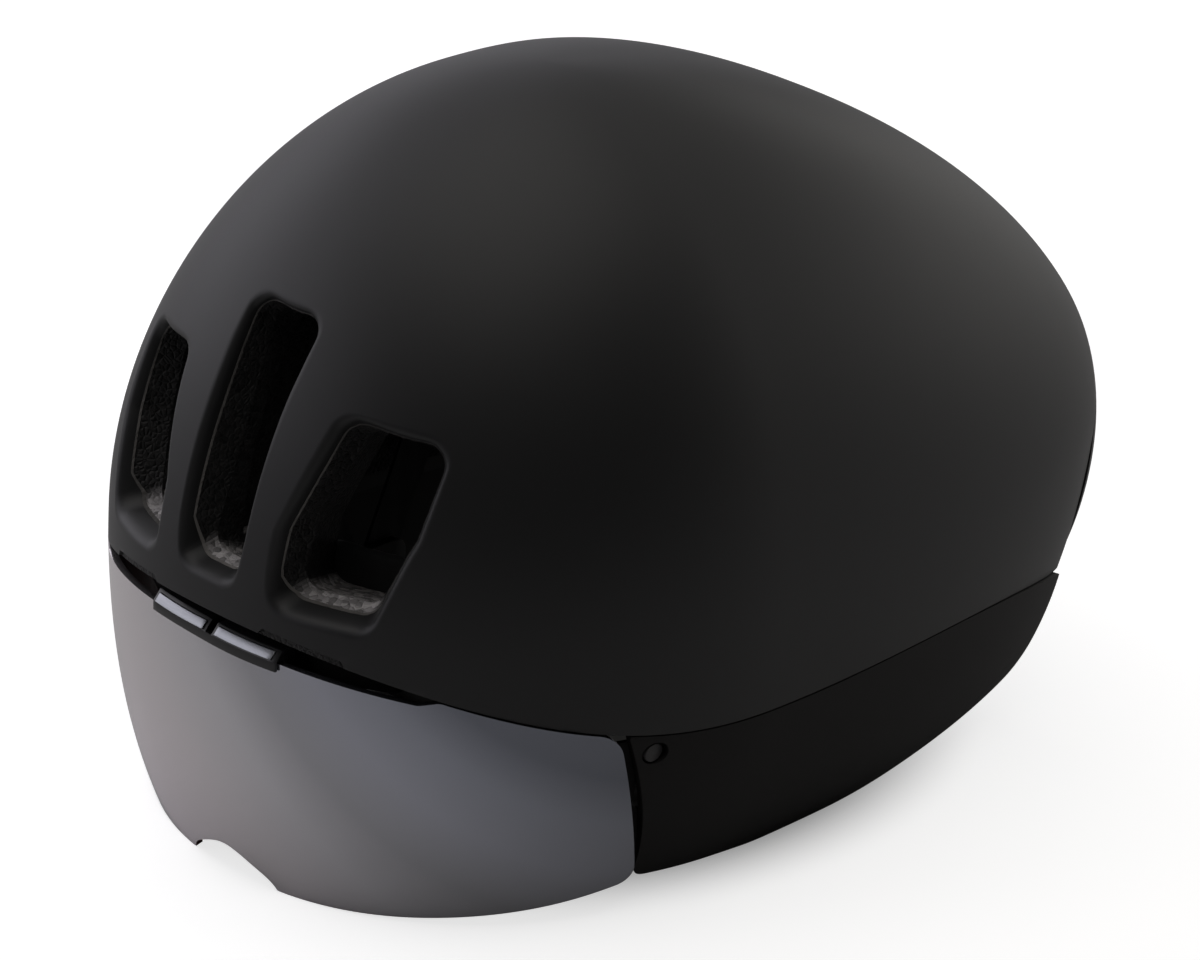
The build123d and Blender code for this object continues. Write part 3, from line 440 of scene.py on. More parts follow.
class Paint(Nodes):
    """Builder of one node material."""

    def __init__(self, name: str) -> None:
        """Start a material with its principled shader."""
        self.material = bpy.data.materials.new(name)
        self.material.use_nodes = True
        super().__init__(self.material.node_tree)
        self.shader = self.tree.nodes["Principled BSDF"]
        self.objects = self.give("Object", "TexCoord", {})

    def noise(self, scale: float, detail: float = 3.0) -> Socket:
        """Add a noise pattern on the object's own place."""
        inputs = {"Scale": scale, "Detail": detail, "Vector": self.objects}
        return self.give("Fac", "TexNoise", inputs)

    def ramp(self, source: Socket, stops: Sequence[tuple[float, Triple]]) -> Socket:
        """Add a colour ramp over a value."""
        ramped = self.give("Color", "ValToRGB", {"Fac": source})
        elements = ramped.node.color_ramp.elements
        while len(elements) < len(stops):
            elements.new(0.5)
        for element, (place, colour) in zip(elements, stops):
            element.position = place
            element.color = (*colour, 1.0)
        return ramped

    def tones(self, source: Socket, colour: Triple, dark: float, light: float) -> Socket:
        """Vary a colour over a value, from a dark to a light share of it."""
        shares = zip(TONE_PLACES, (dark, light))
        return self.ramp(source, [(at, tuple(c * share for c in colour)) for at, share in shares])

    def span(self, source: Socket, low: float, high: float, start: float = 0.0, stop: float = 1.0,
             kind: str = "LINEAR") -> Socket:
        """Spread a value from a start and a stop to a low and a high value."""
        ends = {"From Min": start, "From Max": stop, "To Min": low, "To Max": high}
        return self.give("Result", "MapRange", {"Value": source} | ends, interpolation_type=kind)

    def bump(self, source: Socket, height: float, strength: float,
             under: Socket | None = None) -> Socket:
        """Add a bump of a height in metres, over another one where that is given."""
        inputs = {"Height": source, "Distance": height, "Strength": strength}
        return self.give("Normal", "Bump", inputs if under is None else inputs | {"Normal": under})

    def finish(self, **inputs: object) -> Material:
        """Feed the shader, with underscores for the spaces in its inputs' names.

        Args:
            inputs: Sockets to join or values to set.

        Returns:
            The material.
        """
        feed(self.shader, {key.replace("_", " "): value for key, value in inputs.items()})
        return self.material


@dataclass(frozen=True)
class MouldedPlastic:
    """Moulded or painted plastic with a fine grain and slight changes of tone and gloss."""

    name: str
    slot: str
    colour: Triple
    rough: Pair
    specular: float
    grain_scale: float = 2600.0
    grain_height: float = 0.00002
    tone_share: float = 0.12
    sheen: float = 0.0
    sheen_rough: float = 0.35
    cloud_scale: float = 14.0
    grain_strength: float = 0.6

    def material(self) -> Material:
        """Build the material."""
        paint = Paint(self.name)
        cloud = paint.noise(self.cloud_scale)
        grain = paint.noise(self.grain_scale, 2.0)
        return paint.finish(
            Base_Color=paint.tones(cloud, self.colour, 1 - self.tone_share, 1 + self.tone_share),
            Roughness=paint.span(cloud, *self.rough),
            Normal=paint.bump(grain, self.grain_height, self.grain_strength),
            Specular_IOR_Level=self.specular, Sheen_Weight=self.sheen,
            Sheen_Roughness=self.sheen_rough)


@dataclass(frozen=True)
class BeadFoam:
    """Expanded foam of packed beads, with painted shade that makes it black on its duct walls and
    painted light that makes it paler where it faces up as a ledge.
    """

    name: str = "bead_foam"
    slot: str = "foam_core"
    bead_scale: float = 640.0
    dark: Triple = (0.13, 0.125, 0.125)
    pale: Triple = (0.46, 0.44, 0.44)
    tint_places: Pair = (0.2, 0.85)
    # Painted shade and light: sideways faces keep this share of the tint, and faces that turn up
    # between these heights of the normal are painted lighter, as if lit from above.
    painted_wall_shade: float = 0.05
    painted_top_light_rise: Pair = (0.5, 0.85)
    seam_share: float = 0.28
    bead_height: float = 0.0003
    bead_strength: float = 0.9
    crumb_scale: float = 1500.0
    crumb_strength: float = 0.5
    rough: float = 0.62
    specular: float = 0.35

    def material(self) -> Material:
        """Build the material."""
        paint = Paint(self.name)
        beads = {"Scale": self.bead_scale, "Vector": paint.objects}
        seams = paint.give("Distance", "TexVoronoi", beads, feature="DISTANCE_TO_EDGE")
        tint = paint.ramp(paint.give("Color", "TexVoronoi", beads),
                          tuple(zip(self.tint_places, (self.dark, self.pale))))
        # Painted light from above: the bead tint is scaled by how far each face turns upwards.
        facing = paint.give("True Normal", "NewGeometry", {})
        painted_top_light = paint.span(paint.give("Z", "SeparateXYZ", {0: facing}), self.painted_wall_shade, 1.0,
                           *self.painted_top_light_rise)
        rise = paint.ramp(seams, ((0.0, (0, 0, 0)), (self.seam_share, (1, 1, 1))))
        packed = paint.bump(rise, self.bead_height, self.bead_strength)
        crumbs = paint.noise(self.crumb_scale)
        tint_with_painted_light = {0: tint, "Scale": painted_top_light}
        return paint.finish(
            Base_Color=paint.give("Vector", "VectorMath", tint_with_painted_light, operation="SCALE"),
            Normal=paint.bump(crumbs, self.bead_height / 2, self.crumb_strength, packed),
            Roughness=self.rough, Specular_IOR_Level=self.specular)


@dataclass(frozen=True)
class MirrorLens:
    """Lens with a mirror coating, with painted reflections of the studio on it that run from rosy
    silver low on one side to smoke high on the other.

    Its uncoated inner side shows the lens's own dark rose.
    """

    name: str = "mirror_lens"
    slot: str = "mirror_lens"
    # Painted reflection: tones along a slant across the lens, set by reach, middle level and tilt,
    # stand in for the studio that the mirror shows.
    tones: tuple[tuple[float, Triple], ...] = (
        (0.0, (0.98, 0.92, 0.94)), (0.3, (0.82, 0.78, 0.80)), (0.5, (0.68, 0.67, 0.70)),
        (0.64, (0.46, 0.46, 0.49)), (0.78, (0.44, 0.45, 0.51)), (0.9, (0.34, 0.355, 0.41)),
        (1.0, (0.19, 0.2, 0.235)))
    rose: tuple[float, ...] = (0.09, 0.016, 0.018, 1.0)
    reach: Pair = (-0.06, 0.1)
    reflection_middle_level: float = 0.04
    tilt: float = 0.9
    coat_edge: float = 0.02
    metallic: float = 0.95
    haze_scale: float = 9.0
    rough: Pair = (0.12, 0.18)
    specular: float = 0.5

    def material(self) -> Material:
        """Build the material."""
        paint = Paint(self.name)
        across, up = (paint.give(axis, "SeparateXYZ", {0: paint.objects}) for axis in "XZ")
        rise = paint.give("Value", "Math", {0: up, 1: self.tilt, 2: -self.tilt * self.reflection_middle_level},
                          operation="MULTIPLY_ADD")
        reflection_slant = paint.give("Value", "Math", {0: across, 1: rise}, operation="ADD")
        outward = {0: paint.give("True Normal", "NewGeometry", {}), 1: paint.objects}
        facing = paint.give("Value", "VectorMath", outward, operation="DOT_PRODUCT")
        coated = paint.span(facing, 0.0, 1.0, 0.0, self.coat_edge)
        # Painted reflection of the studio, spread along the slant across the lens.
        painted_reflection = paint.ramp(paint.span(reflection_slant, 0.0, 1.0, *self.reach), self.tones)
        colour = paint.give("Result", "Mix", {"Factor": coated, "A": self.rose, "B": painted_reflection},
                            data_type="RGBA")
        return paint.finish(
            Base_Color=colour, Metallic=paint.span(coated, 0.0, self.metallic),
            Roughness=paint.span(paint.noise(self.haze_scale), *self.rough),
            Specular_IOR_Level=self.specular)


@dataclass(frozen=True)
class Metal:
    """Bright rolled metal with fine lines."""

    name: str
    slot: str
    colour: Triple = (0.62, 0.64, 0.66)
    rough: Pair = (0.22, 0.34)
    line_scale: Triple = (30.0, 900.0, 3000.0)
    dark_share: float = 0.85

    def material(self) -> Material:
        """Build the material."""
        paint = Paint(self.name)
        inputs = {"Scale": self.line_scale, "Vector": paint.objects}
        stretched = paint.give("Vector", "Mapping", inputs)
        lines = paint.give("Fac", "TexNoise", {"Scale": 1.0, "Vector": stretched})
        return paint.finish(
            Base_Color=paint.tones(lines, self.colour, self.dark_share, 1.0),
            Roughness=paint.span(lines, *self.rough), Metallic=1.0)


@dataclass(frozen=True)
class Weave:
    """Woven cloth or webbing: crossing threads with a soft sheen."""

    name: str
    slot: str
    colour: Triple
    thread: float = 0.0009
    height: float = 0.0002
    sheen: float = 0.25
    rough: float = 0.85
    threads_a_unit: float = 20.0
    unevenness: float = 0.6
    thread_strength: float = 0.5
    cloud_scale: float = 60.0
    tone_shares: Pair = (0.75, 1.25)
    sheen_rough: float = 0.4
    specular: float = 0.2

    def material(self) -> Material:
        """Build the material."""
        paint = Paint(self.name)
        waves = {"Scale": 1 / (self.thread * self.threads_a_unit), "Distortion": self.unevenness,
                 "Detail": 1.0, "Vector": paint.objects}
        normal = None
        for direction in "XYZ":
            wave = paint.give("Fac", "TexWave", waves, bands_direction=direction)
            normal = paint.bump(wave, self.height, self.thread_strength, normal)
        return paint.finish(
            Base_Color=paint.tones(paint.noise(self.cloud_scale), self.colour, *self.tone_shares),
            Normal=normal, Roughness=self.rough, Sheen_Weight=self.sheen,
            Sheen_Roughness=self.sheen_rough, Specular_IOR_Level=self.specular)


class Finish(Enum):
    """Finishes of the helmet's pieces."""

    SKIN = MouldedPlastic("matte_skin", "shell_skin", (0.006, 0.006, 0.0065), (0.5, 0.56), 0.5,
                          grain_scale=3200.0, sheen=0.05)
    FOAM = BeadFoam()
    CRUMBS = MouldedPlastic("foam_crumbs", "foam_core", (0.11, 0.105, 0.1), (0.7, 0.8), 0.2,
                            grain_scale=900.0, grain_height=0.0002, tone_share=0.9)
    TAIL = MouldedPlastic("tail_plastic", "tail_plastic", (0.014, 0.014, 0.014), (0.5, 0.56), 0.6,
                          sheen=0.12)
    LENS = MirrorLens()
    CLIP = MouldedPlastic("clip_plastic", "clip_plastic", (0.008, 0.008, 0.009), (0.28, 0.36), 0.5)
    STEEL = Metal("bright_steel", "bright_steel")
    PLATE = Metal("satin_plate", "bright_steel", (0.36, 0.37, 0.395), (0.34, 0.4))
    INNER = MouldedPlastic("inner_plastic", "inner_plastic", (0.009, 0.008, 0.008), (0.5, 0.6), 0.3)
    COVER = MouldedPlastic("cover_skin", "cover_skin", (0.008, 0.0072, 0.0072), (0.6, 0.68), 0.25,
                           grain_scale=1500.0, grain_height=0.00005)
    STUD = MouldedPlastic("stud_grey", "stud_grey", (0.03, 0.029, 0.03), (0.4, 0.5), 0.4)
    PAD = Weave("pad_fabric", "pad_fabric", (0.036, 0.036, 0.038))
    WEBBING = Weave("webbing", "webbing", (0.03, 0.03, 0.031), 0.0012, 0.0003, 0.15, 0.7)
    BUCKLE = MouldedPlastic("buckle_plastic", "buckle_plastic", (0.02, 0.02, 0.02), (0.25, 0.32),
                            0.5)
    FIT = MouldedPlastic("fit_plastic", "fit_plastic", (0.032, 0.032, 0.033), (0.36, 0.44), 0.4)
    DIAL = MouldedPlastic("dial_rubber", "dial_rubber", (0.024, 0.024, 0.024), (0.62, 0.7), 0.3,
                          grain_scale=900.0, grain_height=0.00004)


MATERIALS: dict[Finish, Material] = {}


def finish_material(finish: Finish) -> Material:
    """Give a finish's material, built once."""
    if finish not in MATERIALS:
        MATERIALS[finish] = finish.value.material()
    return MATERIALS[finish]


def add_object(name: str, data: bpy.types.ID) -> bpy.types.Object:
    """Add an object with its data to the scene."""
    thing = bpy.data.objects.new(name, data)
    bpy.context.scene.collection.objects.link(thing)
    return thing


def add_mesh(name: str, bm: BMesh, material: Material) -> bpy.types.Object:
    """Turn a finished mesh, freed here, into an object of one material."""
    mesh = bpy.data.meshes.new(name)
    bm.to_mesh(mesh)
    bm.free()
    mesh.materials.append(material)
    return add_object(name, mesh)


def place_piece(name: str, bm: BMesh, finish: Finish, body: Body | None,
                nodes: Sequence[str] = ()) -> bpy.types.Object:
    """Turn a mesh in millimetres into a piece of the helmet.

    Args:
        name: Name of the piece.
        bm: Finished mesh, freed here.
        finish: Finish of the whole piece.
        body: Body that the piece rides on, or None for a piece on no body.
        nodes: Solids that the piece stands for.

    Returns:
        The piece.
    """
    bmesh.ops.scale(bm, vec=(MM, MM, MM), verts=bm.verts)
    piece = add_mesh(name, bm, finish_material(finish))
    if body is not None:
        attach(piece, body.value)
    if nodes:
        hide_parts(*nodes)
    log.info("%s: %d faces", name, len(piece.data.polygons))
    return piece


def copy_solid(node: str) -> BMesh:
    """Copy a solid's mesh in millimetres with its corners merged."""
    bm = bmesh.new()
    bm.from_mesh(frame["nodes"][node].data)
    bmesh.ops.remove_doubles(bm, verts=bm.verts, dist=MERGE)
    bmesh.ops.scale(bm, vec=(1 / MM, 1 / MM, 1 / MM), verts=bm.verts)
    return bm


def dress_solid(node: str, finish: Finish, body: Body, rounding: float = 0.0) -> bpy.types.Object:
    """Stand a smoothed copy, with its edges rounded, in a solid's place.

    Args:
        node: Solid to copy.
        finish: Finish of the copy.
        body: Body that it rides on.
        rounding: Width of the rounded edges in millimetres, 0 for none.

    Returns:
        The piece.
    """
    bm = copy_solid(node)
    bmesh.ops.dissolve_limit(bm, angle_limit=radians(FLAT), use_dissolve_boundaries=False,
                             verts=bm.verts, edges=bm.edges, delimit=set())
    if rounding:
        bevel_sharp(bm, rounding)
    sharpen(bm)
    return place_piece(node + "_dressed", bm, finish, body, (node,))


def lay_chin_web(rows: int = 24) -> None:
    """Lay the left chin web between its divider and the buckle's tongue, cut across into rows and
    set on no body.
    """
    node = "chin_web_left"
    low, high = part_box(node)
    bm = copy_solid(node)
    for row in range(1, rows):
        cut_flat(bm, (low.x / MM + (high.x - low.x) / MM * row / rows, 0, 0), (1, 0, 0))
    sharpen(bm)
    piece = place_piece(node + "_dressed", bm, Finish.WEBBING, None, (node,))
    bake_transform(piece)


@dataclass(frozen=True)
class Port:
    """Front air port: an opening in the skin and a smaller throat further in."""

    x: float
    level: float
    half_width: float
    half_height: float
    mouth_shares: Pairs
    throat_shares: Pairs
    corner: float = 5.5
    lip_depth: float = 14.0
    probe: float = 0.5

    def frame_of(self) -> Matrix:
        """Frame that touches the skin: its X runs across, its Y up the skin and its Z out."""
        def slope(x: float, z: float) -> float:
            """Change of the skin's place from one side of the port's middle to the other."""
            return EGG.skin_y(self.x + x, self.level + z) - EGG.skin_y(self.x - x, self.level - z)

        across = Vector((2 * self.probe, slope(self.probe, 0.0), 0)).normalized()
        upward = Vector((0, slope(0.0, self.probe), 2 * self.probe))
        out = across.cross(upward).normalized()
        origin = Vector((self.x, EGG.skin_y(self.x, self.level), self.level))
        columns = Matrix((across, out.cross(across), out)).transposed().to_4x4()
        return Matrix.Translation(origin) @ columns

    def outline(self, shares: Pairs) -> np.ndarray:
        """Sample an outline of the port in its own frame."""
        corners = tuple((u * self.half_width, v * self.half_height) for u, v in shares)
        return Outline(corners, (self.corner,)).points()


CENTRE_PORT = Port(0.0, 130.0, 14.2, 40.5, ((-0.82, -1.0), (0.82, -1.0), (1.0, 1.0), (-1.0, 1.0)),
                   ((-0.6, -0.78), (0.6, -0.78), (0.82, 0.93), (-0.82, 0.93)))
LEFT_PORT = Port(
    41.0, 118.0, 24.0, 29.0,
    ((-0.96, -0.97), (0.36, -1.0), (0.84, 0.0), (1.05, 0.92), (-0.3, 1.0), (-0.86, -0.2)),
    ((-0.66, -0.72), (0.28, -0.74), (0.72, 0.0), (0.92, 0.82), (-0.1, 0.88), (-0.58, -0.1)))
PORTS = ((CENTRE_PORT, Side.LEFT), (LEFT_PORT, Side.LEFT), (LEFT_PORT, Side.RIGHT))


@dataclass(frozen=True)
class LipTrack:
    """Line that the lip of a port follows: along the skin first, then round and in to the throat.

    The skin's own lip ends at the share called run, and the foam's sleeve goes on from there.
    """

    edge: Vector
    turning: Vector
    last: Vector
    run: float
    pull: float = 0.45

    def place(self, share: float) -> Vector:
        """Find the place at a share of the track, in the port's frame."""
        arriving = self.last + (self.edge - self.last) * self.pull
        rest = 1 - share
        weights = (rest**3, 3 * share * rest**2, 3 * share**2 * rest, share**3)
        places = (self.edge, self.turning, arriving, self.last)
        return sum((p * w for p, w in zip(places, weights)), Vector())


@dataclass(frozen=True)
class Scoop:
    """Opening of a port in the skin, and the tracks on which its edge turns in."""

    port: Port
    side: Side
    growth: float = 1.1
    step: float = 3.0
    depth_reach: float = 35.0
    rounding: float = 4.2
    lip_share: float = 0.5
    sill_share: float = 0.75
    sill_places: Pair = (0.7, 0.92)
    end_share: float = 0.975

    @cached_property
    def to_skin(self) -> Matrix:
        """Port's own frame, as it stands on the wearer's left or in the middle."""
        return self.port.frame_of()

    @cached_property
    def outlines(self) -> tuple[np.ndarray, np.ndarray]:
        """Outlines of the mouth and the throat, with a point of one for each of the other."""
        return self.port.outline(self.port.mouth_shares), self.port.outline(self.port.throat_shares)

    def local(self, places: np.ndarray) -> np.ndarray:
        """Move places on the helmet to the port's own frame."""
        matrix = np.array(self.to_skin.inverted())
        return (places * np.array((self.side.value, 1, 1))) @ matrix[:3, :3].T + matrix[:3, 3]

    def outer(self, place: Vector) -> Vector:
        """Move a place in the port's own frame to the helmet."""
        left = self.to_skin @ place
        return Vector((self.side.value * left.x, left.y, left.z))

    def keep(self, places: np.ndarray) -> np.ndarray:
        """Distance outside the opening, which narrows to the throat where the skin lies deeper."""
        across, up, out = self.local(places).T
        share = np.clip((-out - self.step) / (self.port.lip_depth - self.step), 0, 1)
        wide, narrow = (inside_distance(outline, across, up) for outline in self.outlines)
        inside = wide * (1 - share) + narrow * share + self.growth
        return np.where(np.abs(out) < self.depth_reach, -inside, FAR)

    def track(self, vert: BMVert) -> LipTrack:
        """Lay the track from a corner on the opening's edge to the place on the throat it faces."""
        edge = self.local(np.array([vert.co]))[0]
        mouth, throat = self.outlines
        ahead = np.roll(mouth, -1, axis=0) - mouth
        length = np.maximum((ahead**2).sum(axis=1), TINY)
        share = np.clip(((edge[:2] - mouth) * ahead).sum(axis=1) / length, 0, 1)
        i = int(np.hypot(*(mouth + ahead * share[:, None] - edge[:2]).T).argmin())
        goal = throat[i] + (np.roll(throat, -1, axis=0)[i] - throat[i]) * share[i]
        inward = Vector((*(goal - edge[:2]), 0)).normalized()
        along = self.to_skin @ (Vector(edge) + inward * self.rounding)
        run = np.interp(-edge[1] / self.port.half_height, self.sill_places,
                        (self.lip_share, self.sill_share))
        return LipTrack(Vector(edge), self.to_skin.inverted() @ EGG.project(along),
                        Vector((*(goal * self.end_share), -self.port.lip_depth)), float(run))


@dataclass
class ShellSkin:
    """Outer shell: the painted skin with its scooped ports, brow notches and rim."""

    wall: float = 1.2
    rounding: float = 0.25
    foot: float = 36.0
    columns: int = 300
    rows: int = 96
    seam: float = 0.001
    pole_gap: float = 0.004
    crown_share: float = 1.25
    cap_gap: float = 4.5
    tail_face_y: float = 140.1
    tail_face_level: float = 100.0
    tail_lean: float = 17.3
    notch_start: float = 20.5
    notch_length: float = 25.0
    notch_height: float = 1.8
    notch_corner: float = 1.2
    fine_margin: float = 6.0
    fine_depth: float = 30.0
    edge_reach: float = 1.0
    lip_rows: int = 12
    sleeve_rows: int = 6
    crumb_height: float = 0.2
    crumb_wall: float = 0.35
    sleeve_wall: float = 0.8

    def level_at(self, share: float) -> float:
        """Height of a row of the skin, with rows closer together towards the crown."""
        below = EGG.level - self.foot
        skirt = below / (below + EGG.height * self.crown_share)
        if share < skirt:
            return self.foot + below * share / skirt
        rise = sin((share - skirt) / (1 - skirt) * (pi / 2 - self.pole_gap))
        return EGG.level + EGG.height * rise

    def skin(self) -> BMesh:
        """Wrap a grid round the egg and close its crown."""
        bm = bmesh.new()
        bmesh.ops.create_grid(bm, x_segments=self.columns, y_segments=self.rows, size=0.5)
        for vert in bm.verts:
            vert.co = EGG.place(-2 * pi * vert.co.x, self.level_at(vert.co.y + 0.5))
        bmesh.ops.remove_doubles(bm, verts=bm.verts, dist=self.seam)
        crown = [e for e in bm.edges if e.is_boundary and e.verts[0].co.z > EGG.level]
        bmesh.ops.holes_fill(bm, edges=crown, sides=0)
        return bm

    def refine(self, bm: BMesh, port: Port) -> None:
        """Divide the skin finely round a port."""
        to_port = port.frame_of().inverted()
        margin = self.fine_margin
        reach = (port.half_width + margin, port.half_height + margin, self.fine_depth)
        near = set()
        for face in bm.faces:
            place = to_port @ face.calc_center_median()
            if all(abs(along) < limit for along, limit in zip(place, reach)):
                near.update(face.edges)
        edges = [e for e in bm.edges if e in near]
        made = bmesh.ops.subdivide_edges(bm, edges=edges, cuts=2, use_grid_fill=True)
        for item in made["geom_inner"]:
            if isinstance(item, BMVert):
                item.co = EGG.project(item.co)

    def open_port(self, bm: BMesh, scoop: Scoop) -> None:
        """Cut a port and turn its edge in as a scooped lip, ended by a line of crumbs and a sleeve.

        Args:
            bm: Skin to cut.
            scoop: Opening of the port.
        """
        rims = {e for e in bm.edges if e.is_boundary}
        cut_away(bm, scoop.keep)
        edges = [e for e in bm.edges if e.is_boundary and e not in rims
                 and scoop.keep(np.array([v.co for v in e.verts])).max() < self.edge_reach]
        tracks = {vert: scoop.track(vert) for vert in {v for e in edges for v in e.verts}}

        def extend(skin_share: float, sleeve_share: float) -> list[BMFace]:
            """Add a row along the tracks.

            Args:
                skin_share: Share of each track's run under the skin that is done after the row.
                sleeve_share: Share of the rest of the track that is done after the row.

            Returns:
                The row's faces.
            """
            made = bmesh.ops.extrude_edge_only(bm, edges=edges)["geom"]
            moved = {}
            for vert in (g for g in made if isinstance(g, BMVert)):
                beside = (e.other_vert(vert) for e in vert.link_edges)
                track = moved[vert] = next(tracks[other] for other in beside if other in tracks)
                share = track.run * skin_share + (1 - track.run) * sleeve_share
                vert.co = scoop.outer(track.place(share))
            edges[:] = [g for g in made if isinstance(g, bmesh.types.BMEdge) and g.is_boundary]
            tracks.clear()
            tracks.update(moved)
            return [g for g in made if isinstance(g, BMFace)]

        lip = [extend(i / self.lip_rows, 0.0) for i in range(1, self.lip_rows + 1)]
        sleeve = [face for i in range(1, self.sleeve_rows + 1)
                  for face in extend(1.0, i / self.sleeve_rows)]
        middle = scoop.outer(Vector((0, 0, -scoop.port.lip_depth)))
        name = f"port_{scoop.port.x * scoop.side.value:.0f}"
        self.cover(bm, lip[-1], middle, self.crumb_height, self.crumb_wall, name + "_crumbs",
                   Finish.CRUMBS)
        self.cover(bm, sleeve, middle, 0.0, self.sleeve_wall, name + "_sleeve", Finish.FOAM)
        bmesh.ops.delete(bm, geom=sleeve, context="FACES")

    @staticmethod
    def cover(bm: BMesh, faces: Sequence[BMFace], middle: Vector, height: float, wall: float,
              name: str, finish: Finish) -> None:
        """Place a thin layer on some of the skin's faces.

        Args:
            bm: Skin with the faces.
            faces: Faces that the layer lies on.
            middle: Place that the layer faces.
            height: How far the layer stands out on average, with an uneven rise and fall.
            wall: Thickness of the layer.
            name: Name of the piece.
            finish: Finish of the piece.
        """
        bm.faces.index_update()
        kept = {f.index for f in faces}
        layer = bm.copy()
        others = [f for i, f in enumerate(layer.faces) if i not in kept]
        bmesh.ops.delete(layer, geom=others, context="FACES")
        bmesh.ops.recalc_face_normals(layer, faces=layer.faces)
        layer.normal_update()
        if sum(f.normal.dot(middle - f.calc_center_median()) for f in layer.faces) < 0:
            bmesh.ops.reverse_faces(layer, faces=layer.faces)
            layer.normal_update()
        for vert, normal in [(v, v.normal.copy()) for v in layer.verts]:
            vert.co += normal * height * (1 + noise.noise(vert.co))
        bmesh.ops.solidify(layer, geom=layer.faces[:], thickness=wall)
        place_piece(name, layer, finish, Body.HELMET)

    def clear_of_notches(self, places: np.ndarray) -> np.ndarray:
        """Distance of places from the shallow notches in the brow's rim."""
        off_middle = np.abs(np.abs(places[:, 0]) - self.notch_start - self.notch_length / 2)
        beside = self.notch_length / 2 - off_middle
        below = RIM.height(places[:, 1]) + self.notch_height - places[:, 2]
        inside = round_corner(beside, below, self.notch_corner)
        return np.where(places[:, 1] < EGG.middle, -inside, self.notch_length)

    def build(self) -> None:
        """Make the skin and place it."""
        bm = self.skin()
        for port, side in PORTS:
            self.refine(bm, replace(port, x=port.x * side.value))
        cut_away(bm, lambda p: p[:, 2] - RIM.height(p[:, 1]))
        cut_away(bm, self.clear_of_notches)
        back = Vector((0, cos(radians(self.tail_lean)), -sin(radians(self.tail_lean))))
        seat = Vector((0, self.tail_face_y, self.tail_face_level)) - back * self.cap_gap
        cut_flat(bm, seat, back, clear=True)
        for port, side in PORTS:
            self.open_port(bm, Scoop(port, side))
        bmesh.ops.recalc_face_normals(bm, faces=bm.faces)
        thicken(bm, self.wall, self.rounding)
        place_piece("shell_skin", bm, Finish.SKIN, Body.HELMET, ("outer_shell",))


@dataclass
class CurvedWall:
    """Curved sheet that is cut to an outline and given a thickness."""

    wall: float
    low: float
    high: float
    turns: Pair
    columns: int
    rows: int
    rounding: float = 0.5

    def place(self, turn: float, z: float) -> Vector:
        """Find a point of the outer face."""
        raise NotImplementedError

    def keep(self, places: np.ndarray) -> np.ndarray:
        """Distance of places inside the outline."""
        raise NotImplementedError

    def sheet(self, side: Side = Side.LEFT) -> BMesh:
        """Make the wall: a grid on its curve, cut, thickened inwards and rounded at its edges.

        Args:
            side: Side of a wall that is mirrored for the wearer's right.

        Returns:
            The wall's mesh in millimetres.
        """
        bm = bmesh.new()
        bmesh.ops.create_grid(bm, x_segments=self.columns, y_segments=self.rows, size=0.5)
        first, last = self.turns
        for vert in bm.verts:
            turn = last + (first - last) * (vert.co.x + 0.5)
            vert.co = self.place(turn, self.low + (self.high - self.low) * (vert.co.y + 0.5))
        cut_away(bm, self.keep)
        bmesh.ops.recalc_face_normals(bm, faces=bm.faces)
        middles = ((f, f.calc_center_median()) for f in bm.faces)
        if sum(f.normal.dot(Vector((at.x, at.y - AXIS_Y, 0))) for f, at in middles) < 0:
            bmesh.ops.reverse_faces(bm, faces=bm.faces)
        thicken(bm, self.wall, self.rounding)
        if side is Side.RIGHT:
            bmesh.ops.scale(bm, vec=(-1, 1, 1), verts=bm.verts)
            bmesh.ops.reverse_faces(bm, faces=bm.faces)
        return bm


